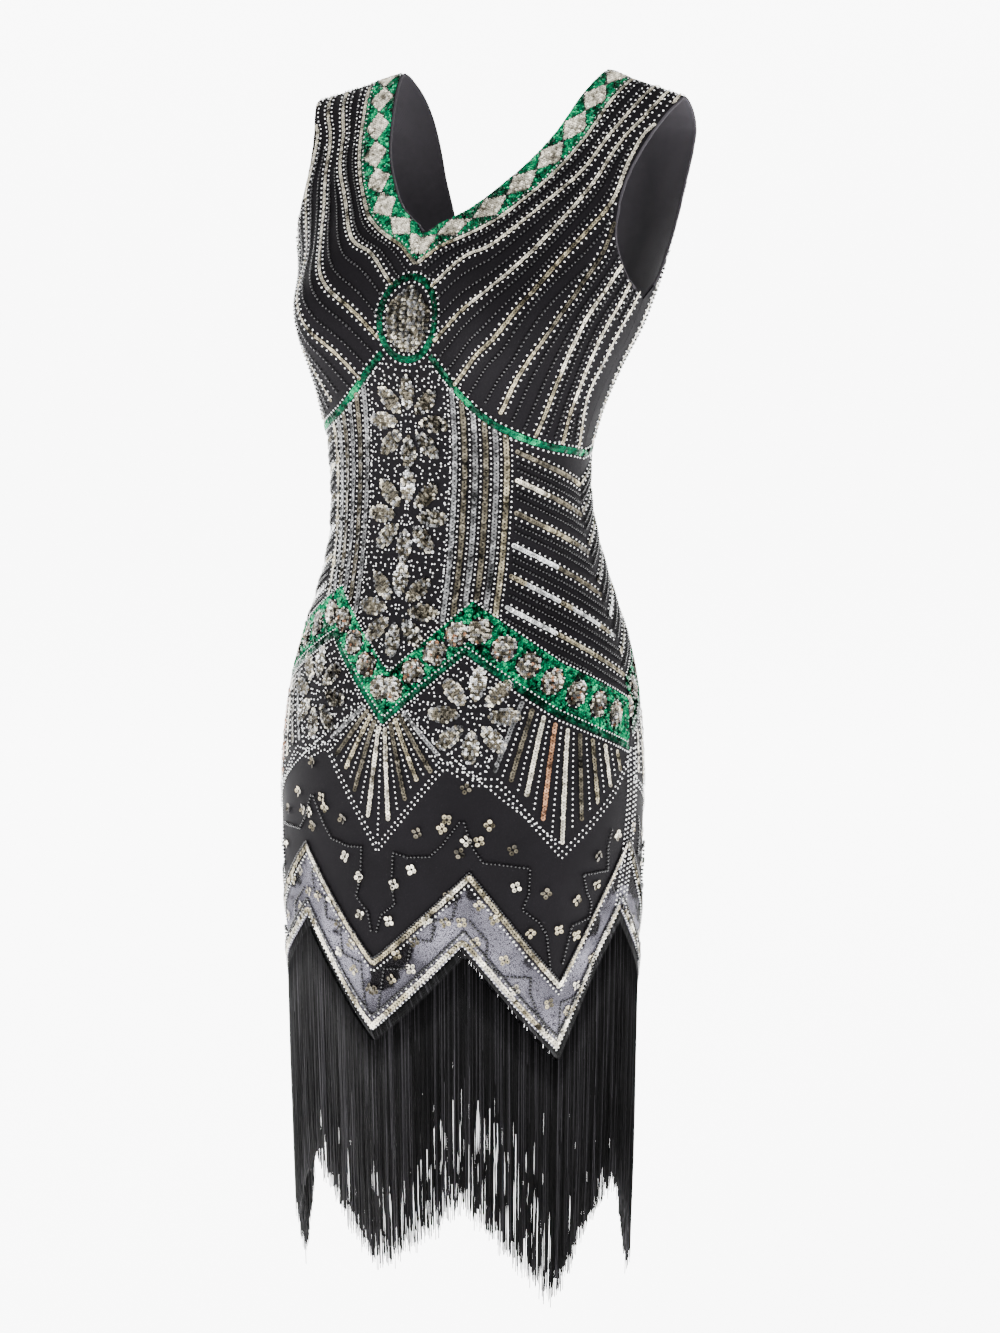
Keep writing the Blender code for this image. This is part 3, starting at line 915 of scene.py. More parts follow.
def sew_side_rows(back):
    """Slanting rows from the corset down to the side seam, with black beads between them."""
    fall = (SIDE_LINE_OUTER - SIDE_LINE_INNER) * SIDE_LINE_FALL
    for start, (kinds, stretch) in zip(SIDE_LINE_STARTS, SIDE_LINE_MIX):
        path = straight_path(((SIDE_LINE_INNER, start), (SIDE_LINE_OUTER, start + fall)))
        path = path[above_band(path, SIDE_ROW_GAP)]
        bordered_row(path, kinds, back, stretch, SIDE_LINE_BORDER, SIDE_LINE_SEQUIN)
        for drop in BLACK_ROW_DROPS:
            black = lowered(path, drop)
            black = black[above_band(black, OVER_BAND)]
            if len(black) > 2:
                bead_row(black, "black_beads", back, spacing=3.1)


def sew_hip_band(back):
    """A zigzag band: bronze rosettes on bright green between rows of beads, over a darker green border."""
    corners = straight_path(HIP_BAND, 40)
    middle = lowered(corners, -HIP_BORDER / 2)
    half = HIP_BAND_HALF - HIP_BORDER / 2
    rosettes = spaced(middle, ROSETTE_STEP, back, start=0.33)
    for drop in np.arange(-half + HIP_FIRST_ROW, half, HIP_ROW_STEP):
        places = spaced(lowered(middle, drop), SEQUIN_STEP, back)
        green = nearest(places, rosettes) > ROSETTE_REACH + ROSETTE_ROOM
        sew("green_sequins", places[green], back, HIP_GREEN, run_of(places)[green])
    for drop in HIP_BORDER_ROWS:
        row = lowered(corners, half + drop - HIP_BORDER / 2)
        sequin_row(row, "dark_green_sequins", back, HIP_GREEN.size)
    for index, centre in enumerate(rosettes):
        sew_rosette(centre, back, index)
    outside = HIP_BAND_HALF + HIP_BEADS_OUT
    for drop in (-outside, half - HIP_BORDER / 2 + BORDER_BEADS_DOWN, outside):
        bead_row(lowered(corners, drop), "white_beads", back, spacing=3.7)


def sew_rosette(centre, back, index):
    """A little four-lobed flower of sequins laid like scales, with white beads round it."""
    line = np.arange(-ROSETTE_REACH, ROSETTE_REACH, ROSETTE_PITCH)
    grid = grid_of(line, line)
    turn = np.arctan2(grid[:, 0], grid[:, 1]) + index * ROSETTE_TURN
    reach = np.linalg.norm(grid, axis=1)
    grid = grid[reach < ROSETTE_REACH * (LOBE_LEAST + LOBE_SWELL * np.abs(np.cos(2 * turn)))]
    out = grid / np.maximum(np.linalg.norm(grid, axis=1, keepdims=True), 1e-6)
    for kind, chosen in shared_out(chance.uniform(0.0, 1.0, len(grid)), ROSETTE_MIX):
        sew(kind, (centre + grid)[chosen], back, ROSETTE_SEQUIN, out[chosen])
    turns = np.linspace(0.0, 2 * math.pi, ROSETTE_BEADS, endpoint=False) + index
    rim = centre + np.stack([np.sin(turns), -np.cos(turns)], -1) * (ROSETTE_REACH + ROSETTE_RIM)
    sew("white_beads", rim, back, ROSETTE_BEAD)


# ---------------------------------------------------------------- skirt: fans, florets, vines, trims

Fan = namedtuple("Fan", "across origin rays spread kinds")
FANS = (
    Fan(0.0, 500.0, 10, 47.0, "bcbgbcbgbs"),
    Fan(162.0, 372.0, 9, 17.5, "sbcpcbgcg"),
)
FAN_KINDS = {
    "b": "bronze_sequins",
    "c": "champagne_sequins",
    "g": "gold_sequins",
    "p": "copper_sequins",
    "s": "silver_sequins",
}
RAY_SEQUIN = 4.4
RAY_SEQUIN_STEP = 2.6
RAY_BEAD_SPACING = 4.6
RAY_LONGEST = 300.0
SEQUIN_RAY_MARGINS = (5.0, 11.0)
BEAD_RAY_MARGINS = (4.0, 9.0)
BEADED_EDGE_RISES = (0.0, 6.0)
HOLLOW_START = (18, 520)
HOLLOW_LEFT_SLOPE = 0.95
HOLLOW_RIGHT_SLOPE = 0.345


def fan_ray(fan, angle, top_margin, edge_margin):
    """A line of the chart from under the hip band to the fan's edge."""
    slope = np.array((math.sin(math.radians(angle)), math.cos(math.radians(angle))))
    reach = np.arange(0.0, RAY_LONGEST, 0.5)[:, None]
    line = np.array((fan.across, fan.origin)) + slope * reach
    keep = line[:, 1] > hip_middle(line[:, 0]) + HIP_BAND_HALF + top_margin
    keep &= line[:, 1] < beaded_depth(line[:, 0]) - edge_margin
    return line[keep][::12]


def sew_fans(back):
    """Fans of sequin rays with white beads between them, over a double row of white beads.

    The middle fan's rays are laid out for the wearer's left alone, because each row is sewn on both sides.
    """
    for fan in FANS:
        both = fan.across > 0
        angles = np.linspace(-fan.spread, fan.spread, fan.rays)
        step = angles[1] - angles[0]
        for angle, kind in zip(angles, fan.kinds):
            path = fan_ray(fan, angle, *SEQUIN_RAY_MARGINS)
            if (both or angle >= 0) and len(path) > 2:
                sequin_row(path, FAN_KINDS[kind], back, RAY_SEQUIN, RAY_SEQUIN_STEP)
        for angle in np.arange(angles[0] - step / 2, angles[-1] + step, step):
            path = fan_ray(fan, angle, *BEAD_RAY_MARGINS)
            if (both or angle >= -step / 3) and len(path) > 2:
                bead_row(path, "white_beads", back, RAY_BEAD_SPACING, both=both or angle > 0.5)
    for rise in BEADED_EDGE_RISES:
        edge = lowered(straight_path(BEADED_EDGE, 30), -rise)
        bead_row(edge, "white_beads", back, spacing=5.0, size=1.9)


def sew_lower_flowers(back):
    """A flower in each hip hollow, in scattered white beads that fill the room between the fans."""
    sew_flower(LOW_FLOWER_PLACE, LOW_FLOWER, back)
    places = scattered(*HOLLOW_AREA, HOLLOW_PITCH)
    across, depth = places[:, 0], places[:, 1]
    keep = depth > hip_middle(across) + HIP_BAND_HALF + UNDER_BAND
    keep &= depth < beaded_depth(across) - OVER_EDGE
    left = HOLLOW_START[0] + (depth - HOLLOW_START[1]) * HOLLOW_LEFT_SLOPE
    right = FANS[1].across - (depth - FANS[1].origin) * HOLLOW_RIGHT_SLOPE
    keep &= (across > np.maximum(left, HOLLOW_START[0])) & (across < right)
    keep &= ~in_flower(places, LOW_FLOWER_PLACE, LOW_FLOWER_ROOM)
    sew("white_beads", places[keep], back, SCATTERED_BEAD)


FLORETS = (
    (79, 577), (100, 607), (64, 604), (81, 621), (38, 618), (34, 650), (18, 665), (15, 697), (60, 612),
    (92, 621), (120, 628), (124, 660), (150, 667), (138, 701), (163, 701), (180, 678), (182, 710), (201, 643),
    (202, 669), (226, 631), (76, 632), (107, 688),
    (94, 676), (68, 669), (66, 692), (40, 711), (50, 691), (24, 725), (20, 747), (2, 760), (38, 735),
    (80, 691), (92, 708), (117, 724), (127, 751), (157, 766), (177, 777), (187, 757), (205, 737), (222, 718),
)
FLORET_KINDS = ("champagne_sequins", "gold_sequins", "bronze_sequins")
FLORET_SHARES = (0.18, 0.58, 0.24)
FLORET_HALF = 2.15
FLORET_RUN = 2.4
FLORET_SEQUIN = Style(4.1, 1.0, 0.2)
VINES = (
    ((76, 604), (60, 627), (50, 637), (30, 640), (16, 638), (16, 665), (20, 682), (7, 693), (2, 711)),
    (
        (78, 604), (87, 627), (96, 639), (115, 641), (135, 644),
        (135, 667), (130, 680), (145, 692), (152, 704), (157, 736),
    ),
    (
        (217, 622), (212, 637), (215, 659), (185, 656), (190, 672),
        (197, 684), (196, 697), (176, 700), (168, 735),
    ),
    ((58, 695), (55, 709), (38, 709), (34, 735), (12, 739), (10, 757), (6, 778)),
    ((76, 668), (72, 689), (56, 691), (55, 709)),
    ((86, 689), (102, 707), (102, 727), (115, 739), (140, 741), (140, 756), (147, 773), (157, 794)),
    ((168, 796), (169, 768), (198, 766), (206, 752), (212, 735)),
)


def sew_floret(centre, back):
    """Four sequins in a small square that is turned any way."""
    square = np.array(((-1, -1), (1, -1), (1, 1), (-1, 1)))
    corners = square * FLORET_HALF
    turn = math.radians(chance.uniform(0, 45))
    spin = np.array(((math.cos(turn), -math.sin(turn)), (math.sin(turn), math.cos(turn))))
    kind = chance.choice(FLORET_KINDS, p=FLORET_SHARES)
    sew(kind, np.array(centre) + corners @ spin, back, FLORET_SEQUIN, corners / FLORET_RUN)


def sew_skirt(back):
    """Florets all over the skirt, and vines of black beads."""
    for centre in FLORETS:
        sew_floret(centre, back)
    for vine in VINES:
        bead_row(straight_path(vine), "black_beads", back, spacing=3.4, size=2.9)


def hem_path(hem, back, drop=0.0):
    """The wearer's left half of a zigzag hem on the chart, in millimetres."""
    share = np.linspace(0.0, 1.0, 181)
    height = hem_height(hem, share) - drop * MM
    inner, outer = panel_angles(height, back)
    angle = inner + (outer - inner) * share
    return np.stack([chart_across(angle, height, back), -height / MM], -1)


def sew_trims(back):
    """Rows of sequins and beads over the lining's hem and along the net's hem."""
    upper = hem_path(LINING_HEM, back, drop=-3.0)
    mixed_row(upper, ("gold_sequins", "champagne_sequins"), back, 4.5, 2.8, (110.0, 34.0), start=0.2)
    bead_row(hem_path(LINING_HEM, back, drop=4.0), "white_beads", back, spacing=4.4, size=2.1)
    bead_row(hem_path(LINING_HEM, back, drop=-7.5), "black_beads", back, spacing=2.6)
    hem = hem_path(NET_HEM, back)
    lower = beside(hem, 3.7, back)
    mixed_row(lower, ("champagne_sequins", "gold_sequins"), back, 4.8, 2.9, (52.0, 33.0), start=0.4)
    bead_row(hem_path(NET_HEM, back, drop=-11.2), "white_beads", back, spacing=6.4)
    bead_row(beside(hem, 0.8, back), "white_beads", back, spacing=3.9, size=2.0)
    bead_row(hem_path(NET_HEM, back, drop=-14.0), "black_beads", back, spacing=2.6)


def sew_side_seam(back):
    """Two rows of white beads down the side seam."""
    hem = hem_path(NET_HEM, back)
    depth = np.linspace(560.0, 770.0, 60)
    _, outer = panel_angles(-depth * MM, back)
    seam = chart_across(outer, -depth * MM, back)
    for inset in (3.0, 8.0):
        path = np.stack([seam - inset, depth], -1)
        path = path[path[:, 1] < np.interp(path[:, 0], hem[:, 0], hem[:, 1]) - 8]
        bead_row(path, "white_beads", back, spacing=4.2, size=2.2)


def sew_all():
    """All the beadwork, the front first. The order sets which chances each row gets."""
    for back in PANEL_WORDS:
        sew_bodice(back)
        sew_empire_line(back)
        sew_centre_panel(back)
        sew_corset(back)
        sew_side_rows(back)
        sew_hip_band(back)
        sew_lower_flowers(back)
        sew_fans(back)
        sew_skirt(back)
        sew_trims(back)
        sew_side_seam(back)
    sew_medallion()


# ---------------------------------------------------------------- finishes

class Socket:
    """A shader value on which sums can be written as on a number."""

    def __init__(self, finish, link):
        self.finish, self.link = finish, link

    def math(self, operation, *values):
        return self.finish.node("ShaderNodeMath", {"operation": operation}, dict(enumerate(values)))

    def __add__(self, other):
        return self.math("ADD", self, other)

    def __sub__(self, other):
        return self.math("SUBTRACT", self, other)

    def __rsub__(self, other):
        return self.math("SUBTRACT", other, self)

    def __mul__(self, other):
        return self.math("MULTIPLY", self, other)

    def __pow__(self, other):
        return self.math("POWER", self, other)

    def above(self, level):
        return self.math("GREATER_THAN", self, level)

    __radd__ = __add__
    __rmul__ = __mul__


class Finish:
    """A procedural material with a Principled shader."""

    def __init__(self, name, **constants):
        self.material = bpy.data.materials.new(name)
        self.material.use_nodes = True
        self.tree = self.material.node_tree
        self.shader = self.tree.nodes["Principled BSDF"]
        for key, value in constants.items():
            self.shader.inputs[key.replace("_", " ")].default_value = value

    def node(self, kind, settings=None, values=None, output=0):
        """Adds a node: its settings first, then the values or links of its sockets."""
        node = self.tree.nodes.new(kind)
        for key, value in (settings or {}).items():
            setattr(node, key, value)
        for key, value in (values or {}).items():
            if isinstance(value, Socket):
                self.tree.links.new(value.link, node.inputs[key])
            else:
                node.inputs[key].default_value = value
        return Socket(self, node.outputs[output])

    def feed(self, **sockets):
        for key, value in sockets.items():
            self.tree.links.new(value.link, self.shader.inputs[key.replace("_", " ")])

    def attribute(self, name):
        return self.node("ShaderNodeAttribute", {"attribute_name": name}, output="Fac")

    def scaled(self, place, scale):
        return self.node("ShaderNodeMapping", values={"Vector": place, "Scale": scale})

    def uv(self, scale=(1.0, 1.0, 1.0)):
        return self.scaled(self.node("ShaderNodeTexCoord", output="UV"), scale)

    def object_place(self):
        return self.node("ShaderNodeTexCoord", output="Object")

    def noise(self, place, scale, detail=2.0):
        return self.node("ShaderNodeTexNoise", values={"Vector": place, "Scale": scale, "Detail": detail})

    def clamp(self, value):
        return self.node("ShaderNodeClamp", values={"Value": value})

    def mix(self, share, one, other):
        one, other = (end if isinstance(end, Socket) else (*end, 1.0) for end in (one, other))
        return self.node("ShaderNodeMix", {"data_type": "RGBA"}, {0: share, 6: one, 7: other}, output=2)

    def bump(self, height, strength, distance):
        values = {"Height": height, "Strength": strength, "Distance": distance}
        self.feed(Normal=self.node("ShaderNodeBump", values=values))


NET_CELLS = 700.0
KNIT_RIBS = 260.0
NEEDLE_HOLE = 0.30
SEQUIN_RIM = 0.86
HOLE_BLACK = (0.006, 0.006, 0.006)


def net_finish():
    """Fine black net: over the lining it reads as cloth. Below the lining's hem it is partly see-through and
    painted pale with painted light showing through it, broken by patches of painted shade that gather towards
    the lining's hem.
    """
    finish = Finish("black_net", Specular_IOR_Level=0.04)
    edges = {"feature": "DISTANCE_TO_EDGE"}
    cells = finish.node("ShaderNodeTexVoronoi", edges, {"Vector": finish.uv(), "Scale": NET_CELLS})
    holes = cells.above(0.09)
    bare = finish.attribute("bare")
    cloudy = finish.noise(finish.uv(), 22.0, 3.0)
    black = finish.mix(cloudy, (0.0025, 0.0022, 0.0027), (0.0064, 0.0057, 0.0069))
    # Painted light: below the lining's hem the net is painted a pale lavender grey, lighter and darker in
    # patches, standing in for light seen through the black net.
    through_light_noise = (finish.noise(finish.uv(), 16.0, 2.0) - 0.36) * 4.0
    pale = finish.mix(through_light_noise, (0.055, 0.053, 0.066), (0.27, 0.26, 0.315))
    pale = finish.mix(holes, (0.030, 0.028, 0.034), pale)
    # Painted shade: dark patches over the pale net, more of them towards the lining's hem.
    painted_shade_patches = (finish.noise(finish.uv(), 26.0, 3.0) - finish.attribute("fall") * 0.34 - 0.46) * 14.0
    pale = finish.mix(painted_shade_patches, pale, black)
    finish.feed(Base_Color=finish.mix(bare, black, pale))
    finish.feed(Alpha=1.0 - bare * (0.10 + holes * 0.12), Roughness=0.62 + cloudy * 0.2)
    finish.bump(cells, 0.25, 0.0004)
    return finish.material


def lining_finish():
    """Matt charcoal knit with a fine upright rib."""
    finish = Finish("charcoal_knit", Specular_IOR_Level=0.05)
    upright = {"wave_type": "BANDS", "bands_direction": "X"}
    rib = finish.node("ShaderNodeTexWave", upright, {"Vector": finish.uv(), "Scale": KNIT_RIBS})
    cloudy = finish.noise(finish.uv((1.0, 0.35, 1.0)), 30.0, 4.0)
    shade = finish.mix(cloudy, (0.0230, 0.0212, 0.0245), (0.0420, 0.0385, 0.0440))
    finish.feed(Base_Color=shade, Roughness=0.80 - rib * 0.08)
    finish.bump(rib + cloudy * 0.5, 0.3, 0.0003)
    return finish.material


def sequin_finish(name, dark, bright, metallic, roughness=0.24, contrast=1.0):
    """Cupped sequins with a needle hole, painted lighter or darker in patches and one by one as painted
    glints, with painted shade at the rim.
    """
    finish = Finish(name, Metallic=metallic, Coat_Weight=0.05, Coat_Roughness=0.08)
    # Painted glints: the noise patches and each sequin's own glint move its colour between the dark and the
    # bright shade.
    cloudy = finish.noise(finish.object_place(), 75.0, 1.0)
    glint = finish.clamp(finish.attribute("glint") * 0.62 + (cloudy - 0.5) * 1.7 + 0.19)
    from_hole = finish.node("ShaderNodeVectorMath", {"operation": "LENGTH"}, {0: finish.uv()}, output="Value")
    shade = finish.mix(glint**contrast, dark, bright)
    hole = 1.0 - from_hole.above(NEEDLE_HOLE)
    # Painted shade: a darker ring round each sequin's rim.
    rim = from_hole.above(SEQUIN_RIM) * 0.4
    shade = finish.mix(rim, shade, tuple(channel * 0.35 for channel in dark))
    finish.feed(Base_Color=finish.mix(hole, shade, HOLE_BLACK), Roughness=roughness + glint * 0.22)
    return finish.material


def bead_finish(name, dark, bright, roughness, gloss):
    """Glass seed beads, each of its own shade."""
    finish = Finish(name, Coat_Weight=gloss, Coat_Roughness=0.08, Specular_IOR_Level=gloss)
    glint = finish.attribute("glint")
    finish.feed(Base_Color=finish.mix(glint, dark, bright), Roughness=roughness + glint * 0.15)
    return finish.material


def thread_finish(name, gloss, dark, bright):
    """Twisted rayon: black with a soft lengthwise sheen."""
    finish = Finish(name, Specular_IOR_Level=gloss)
    twist = finish.noise(finish.scaled(finish.object_place(), (1.0, 1.0, 0.3)), 900.0)
    finish.feed(Base_Color=finish.mix(finish.attribute("glint") ** 7.0, dark, bright))
    finish.feed(Roughness=0.36 + twist * 0.25)
    return finish.material


# Each has the dark and the bright shade of its painted glints and how metallic it is, and where needed its
# roughness and contrast
SEQUIN_LOOKS = {
    "green_sequins": ((0.000, 0.020, 0.009), (0.000, 0.270, 0.105), 1.0, 0.22, 1.4),
    "dark_green_sequins": ((0.000, 0.010, 0.005), (0.000, 0.080, 0.035), 1.0, 0.22, 1.6),
    "champagne_sequins": ((0.12, 0.107, 0.078), (0.88, 0.815, 0.655), 0.50),
    # bright_sequins are painted highlights: near-white sequins that stand in for flashes of reflected light
    "bright_sequins": ((0.30, 0.30, 0.30), (0.92, 0.92, 0.91), 0.85),
    "silver_sequins": ((0.030, 0.030, 0.031), (0.23, 0.23, 0.233), 0.88),
    "bronze_sequins": ((0.009, 0.0079, 0.0054), (0.130, 0.113, 0.080), 0.88),
    "gold_sequins": ((0.032, 0.027, 0.016), (0.46, 0.40, 0.265), 0.82, 0.22, 1.2),
    "copper_sequins": ((0.10, 0.045, 0.022), (0.42, 0.21, 0.11), 0.80),
}
THREAD_BLACK = (0.0006, 0.0006, 0.0007)
FINISHES = {
    "net": net_finish(),
    "lining": lining_finish(),
    "fringe": thread_finish("black_thread", 0.04, THREAD_BLACK, (0.0300, 0.0285, 0.0320)),
    "tape": thread_finish("black_tape", 0.06, THREAD_BLACK, (0.0240, 0.0230, 0.0255)),
    **{name: sequin_finish(name, *look) for name, look in SEQUIN_LOOKS.items()},
    "white_beads": bead_finish("white_beads", (0.66, 0.66, 0.66), (0.92, 0.92, 0.90), 0.18, 0.5),
    "black_beads": bead_finish("black_beads", (0.001, 0.001, 0.0011), (0.006, 0.006, 0.0068), 0.16, 0.33),
}


# ---------------------------------------------------------------- making pieces

def add_object(name, data):
    """A new object of the scene, at the origin."""
    holder = bpy.data.objects.new(name, data)
    bpy.context.scene.collection.objects.link(holder)
    return holder


def finish_piece(name, data, finish):
    """A finished piece of the dress, in its material."""
    piece = add_object(name, data)
    data.materials.append(FINISHES[finish])
    if piece.type == "MESH":
        data.shade_smooth()
    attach(piece, "root")
    return piece


def template_arrays(shape):
    """The points and triangles of a small shape."""
    bmesh.ops.triangulate(shape, faces=shape.faces[:])
    points = np.array([vertex.co for vertex in shape.verts])
    faces = np.array([[vertex.index for vertex in face.verts] for face in shape.faces])
    shape.free()
    return points, faces


def sequin_shape():
    """A cupped disc, open side up."""
    shape = bmesh.new()
    bmesh.ops.create_circle(shape, cap_ends=True, cap_tris=True, segments=8, radius=1.0)
    for vertex in shape.verts:
        vertex.co.z = 0.20 * vertex.co.length_squared
    return template_arrays(shape)


def bead_shape():
    """A ball with few faces."""
    shape = bmesh.new()
    bmesh.ops.create_uvsphere(shape, u_segments=6, v_segments=2, radius=1.0)
    return template_arrays(shape)


def piece_of_copies(name, points, faces, finish, uvs=None):
    """One piece of many copies: points has a copy per row, and faces are those of one copy."""
    copies, per_copy = points.shape[:2]
    glints = chance.uniform(0.0, 1.0, copies)
    starts = np.arange(copies)[:, None, None] * per_copy
    all_faces = (faces[None] + starts).reshape(-1, 3)
    mesh = bpy.data.meshes.new(name)
    mesh.vertices.add(copies * per_copy)
    mesh.vertices.foreach_set("co", points.reshape(-1))
    mesh.loops.add(all_faces.size)
    mesh.loops.foreach_set("vertex_index", all_faces.reshape(-1).astype(np.int32))
    mesh.polygons.add(len(all_faces))
    mesh.polygons.foreach_set("loop_start", np.arange(0, all_faces.size, 3, dtype=np.int32))
    mesh.polygons.foreach_set("loop_total", np.full(len(all_faces), 3, dtype=np.int32))
    mesh.update(calc_edges=True)
    glint = mesh.attributes.new("glint", "FLOAT", "POINT")
    glint.data.foreach_set("value", np.repeat(glints, per_copy).astype(np.float32))
    if uvs is not None:
        layer = mesh.uv_layers.new(name="UVMap")
        flat = np.tile(uvs[faces.reshape(-1)], (copies, 1))
        layer.data.foreach_set("uv", flat.reshape(-1).astype(np.float32))
    return finish_piece(name, mesh, finish)


def lay_out(kind, back):
    """All the sewn things of one kind on one panel, as one piece."""
    point, normal, along, size = (np.concatenate(field) for field in zip(*sewn[kind, back]))
    along = along - normal * (along * normal).sum(1, keepdims=True)
    along /= np.linalg.norm(along, axis=1, keepdims=True)
    beads = kind.endswith("beads")
    points, faces = bead_shape() if beads else sequin_shape()
    axes = np.stack([along, np.cross(normal, along), normal], 1)
    copies = point[:, None] + np.einsum("vk,nkc->nvc", points, axes) * size[:, None, None]
    uvs = None if beads else points[:, :2]
    return piece_of_copies(f"{kind}_{PANEL_WORDS[back]}", copies, faces, kind, uvs)


# ---------------------------------------------------------------- cloth shells

Cloth = namedtuple("Cloth", "name finish hem depth thick columns")
NET = Cloth("embroidered_net", "net", NET_HEM, 0.0, NET_THICK, 36)
LINING = Cloth("knit_lining", "lining", LINING_HEM, NET_THICK + LAYER_GAP, LINING_THICK, 24)
TOP_ROWS = 12
TOP_ROWS_END = 0.030
BODY_STEP = 0.0070
SKIRT_ROWS = 16
HEM_ROWS = 7
CLOTH_RADIUS = 0.15
SAME_PLACE = 2e-5
SHARP_ANGLE = 60


def panel_rows(hem):
    """Rows of a shell, each a function of the share across the half panel."""
    levels = list(TOP - np.linspace(0.0, math.sqrt(TOP_ROWS_END), TOP_ROWS) ** 2)
    levels += list(np.arange(levels[-1] - BODY_STEP, SKIRT_LINE, -BODY_STEP))
    rows = [lambda share, level=level: np.full(share.shape, level) for level in levels]
    start = levels[-1]
    for step in range(1, SKIRT_ROWS + 1):
        rows.append(lambda share, f=step / SKIRT_ROWS: start + (hem_height(LINING_HEM, share) - start) * f)
    if hem is NET_HEM:
        for step in range(1, HEM_ROWS + 1):
            mixed = [a + (b - a) * step / HEM_ROWS for a, b in zip(LINING_HEM, NET_HEM)]
            rows.append(lambda share, mixed=mixed: hem_height(mixed, share))
    return rows


def make_shell(cloth, back):
    """A panel of cloth as a closed thin shell, at its depth under the outer face."""
    rows = panel_rows(cloth.hem)
    columns = cloth.columns
    shares = np.linspace(0.0, 1.0, columns + 1)
    mesh = bmesh.new()
    uv = mesh.loops.layers.uv.new("UVMap")
    bare = mesh.verts.layers.float.new("bare")
    fall = mesh.verts.layers.float.new("fall")
    outward = mesh.verts.layers.float_vector.new("outward")
    chart_place = mesh.verts.layers.float_vector.new("chart_place")
    lining_rows = len(panel_rows(LINING_HEM))
    for side in BOTH_SIDES:
        before = len(mesh.verts)
        bmesh.ops.create_grid(mesh, x_segments=columns, y_segments=len(rows) - 1, size=1.0)
        mesh.verts.ensure_lookup_table()
        made = mesh.verts[before:]
        for row, height_of in enumerate(rows):
            height = height_of(shares)
            inner, outer = panel_angles(height, back)
            angle = (inner + (outer - inner) * shares) * side
            normal = form_normal(angle, height)
            point = form_point(angle, height)
            if row == 0:
                point[:, 1] += SEAM_GAP / 2 if back else -SEAM_GAP / 2
            for column in range(columns + 1):
                vertex = made[row * (columns + 1) + column]
                vertex.co = point[column] - normal[column] * (cloth.depth + cloth.thick)
                vertex[outward] = normal[column] * cloth.thick
                vertex[bare] = float(row >= lining_rows)
                vertex[fall] = max(0.0, (row - lining_rows) / HEM_ROWS)
                vertex[chart_place] = (math.radians(angle[column]) * CLOTH_RADIUS, height[column], 0.0)
    bmesh.ops.remove_doubles(mesh, verts=mesh.verts[:], dist=SAME_PLACE)
    made = bmesh.ops.extrude_face_region(mesh, geom=mesh.faces[:])
    for vertex in (item for item in made["geom"] if isinstance(item, bmesh.types.BMVert)):
        vertex.co = vertex.co + vertex[outward]
    bmesh.ops.recalc_face_normals(mesh, faces=mesh.faces[:])
    for face in mesh.faces:
        for loop in face.loops:
            loop[uv].uv = loop.vert[chart_place].xy
    name = f"{cloth.name}_{PANEL_WORDS[back]}"
    data = bpy.data.meshes.new(name)
    mesh.to_mesh(data)
    mesh.free()
    data.set_sharp_from_angle(angle=math.radians(SHARP_ANGLE))
    return finish_piece(name, data, cloth.finish)


# ---------------------------------------------------------------- fringe

TAPE_HEIGHT = 11.0
TAPE_TOP = -0.8
LOOP_STEP = 1.3
LOOP_SLANT = 0.004
LOOP_BOW = 0.0007
LOOP_SINK = 0.0009
LOOP_RADIUS = 0.00062

THREAD_STEP = 0.52
THREAD_RADIUS = 0.00034
THREAD_PARTS = 6
THREAD_SINK = 0.0004
THREAD_SWAY = 0.0004
THREAD_SWING = 0.0006
THREAD_WAVES = 5.0
THREAD_LEAN = 0.004
THREADS_PER_LOCK = 2
LOCK_GATHER = 0.16
LOCK_SWAY = 0.00042
LENGTH_SPREAD = 0.008
FRONT_LENGTHS = (0.240, 0.246, 0.218, 0.212, 0.230, 0.224, 0.245)
BACK_LENGTHS = (0.240, 0.262, 0.250, 0.250, 0.250, 0.262, 0.245)

# The outer layer of threads, and the inner one, which is sparser and shorter
ThreadLayer = namedtuple("ThreadLayer", "sparse drop out first short_share shortest")
THREAD_LAYERS = (
    ThreadLayer(1.0, TAPE_HEIGHT - 1.0, 0.2, 0, 0.05, 0.60),
    ThreadLayer(1.15, TAPE_HEIGHT - 2.0, -1.4, 3, 1.0, 0.92),
)


def thread_shape(sides, parts):
    """A tube of unit length that hangs down from the origin."""
    shape = bmesh.new()
    bmesh.ops.create_cone(shape, cap_ends=True, segments=sides, radius1=1.0, radius2=1.0, depth=1.0)
    upright = [edge for edge in shape.edges if abs(edge.verts[0].co.z - edge.verts[1].co.z) > 0.5]
    bmesh.ops.subdivide_edges(shape, edges=upright, cuts=parts - 1, use_grid_fill=True)
    bmesh.ops.translate(shape, verts=shape.verts[:], vec=(0.0, 0.0, -0.5))
    return template_arrays(shape)


def hem_points(back, drop, spacing):
    """Places along the whole zigzag hem of a panel: points, outward directions, runs and shares across."""
    half = hem_path(NET_HEM, back)
    both = np.vstack([half[::-1] * (-1, 1), half[1:]])
    places = spaced(both, spacing, back)
    points, normals = on_cloth(places[:, 0], places[:, 1], back)
    points[:, 2] -= drop * MM
    runs = np.gradient(points, axis=0)
    runs /= np.linalg.norm(runs, axis=1, keepdims=True)
    reach = np.interp(np.abs(places[:, 0]), half[:, 0], np.linspace(0.0, 1.0, len(half)))
    return points, normals, runs, np.copysign(reach, places[:, 0])


def thread_lengths(shares, lock, layer, back):
    """How long each thread is, by its place on the zigzag, with a spread for its lock and its own."""
    turns = (*(-share for share in LEG_ENDS[:0:-1]), *LEG_ENDS)
    length = np.interp(shares, turns, BACK_LENGTHS if back else FRONT_LENGTHS) - 0.004
    length = length + chance.normal(0.0, LENGTH_SPREAD * 0.5, lock[-1] + 1)[lock]
    length = length + chance.normal(0.0, LENGTH_SPREAD * 0.7, len(lock))
    short = chance.uniform(0.0, 1.0, len(lock)) < layer.short_share
    return length * np.where(short, chance.uniform(layer.shortest, 1.0, len(lock)), 1.0)


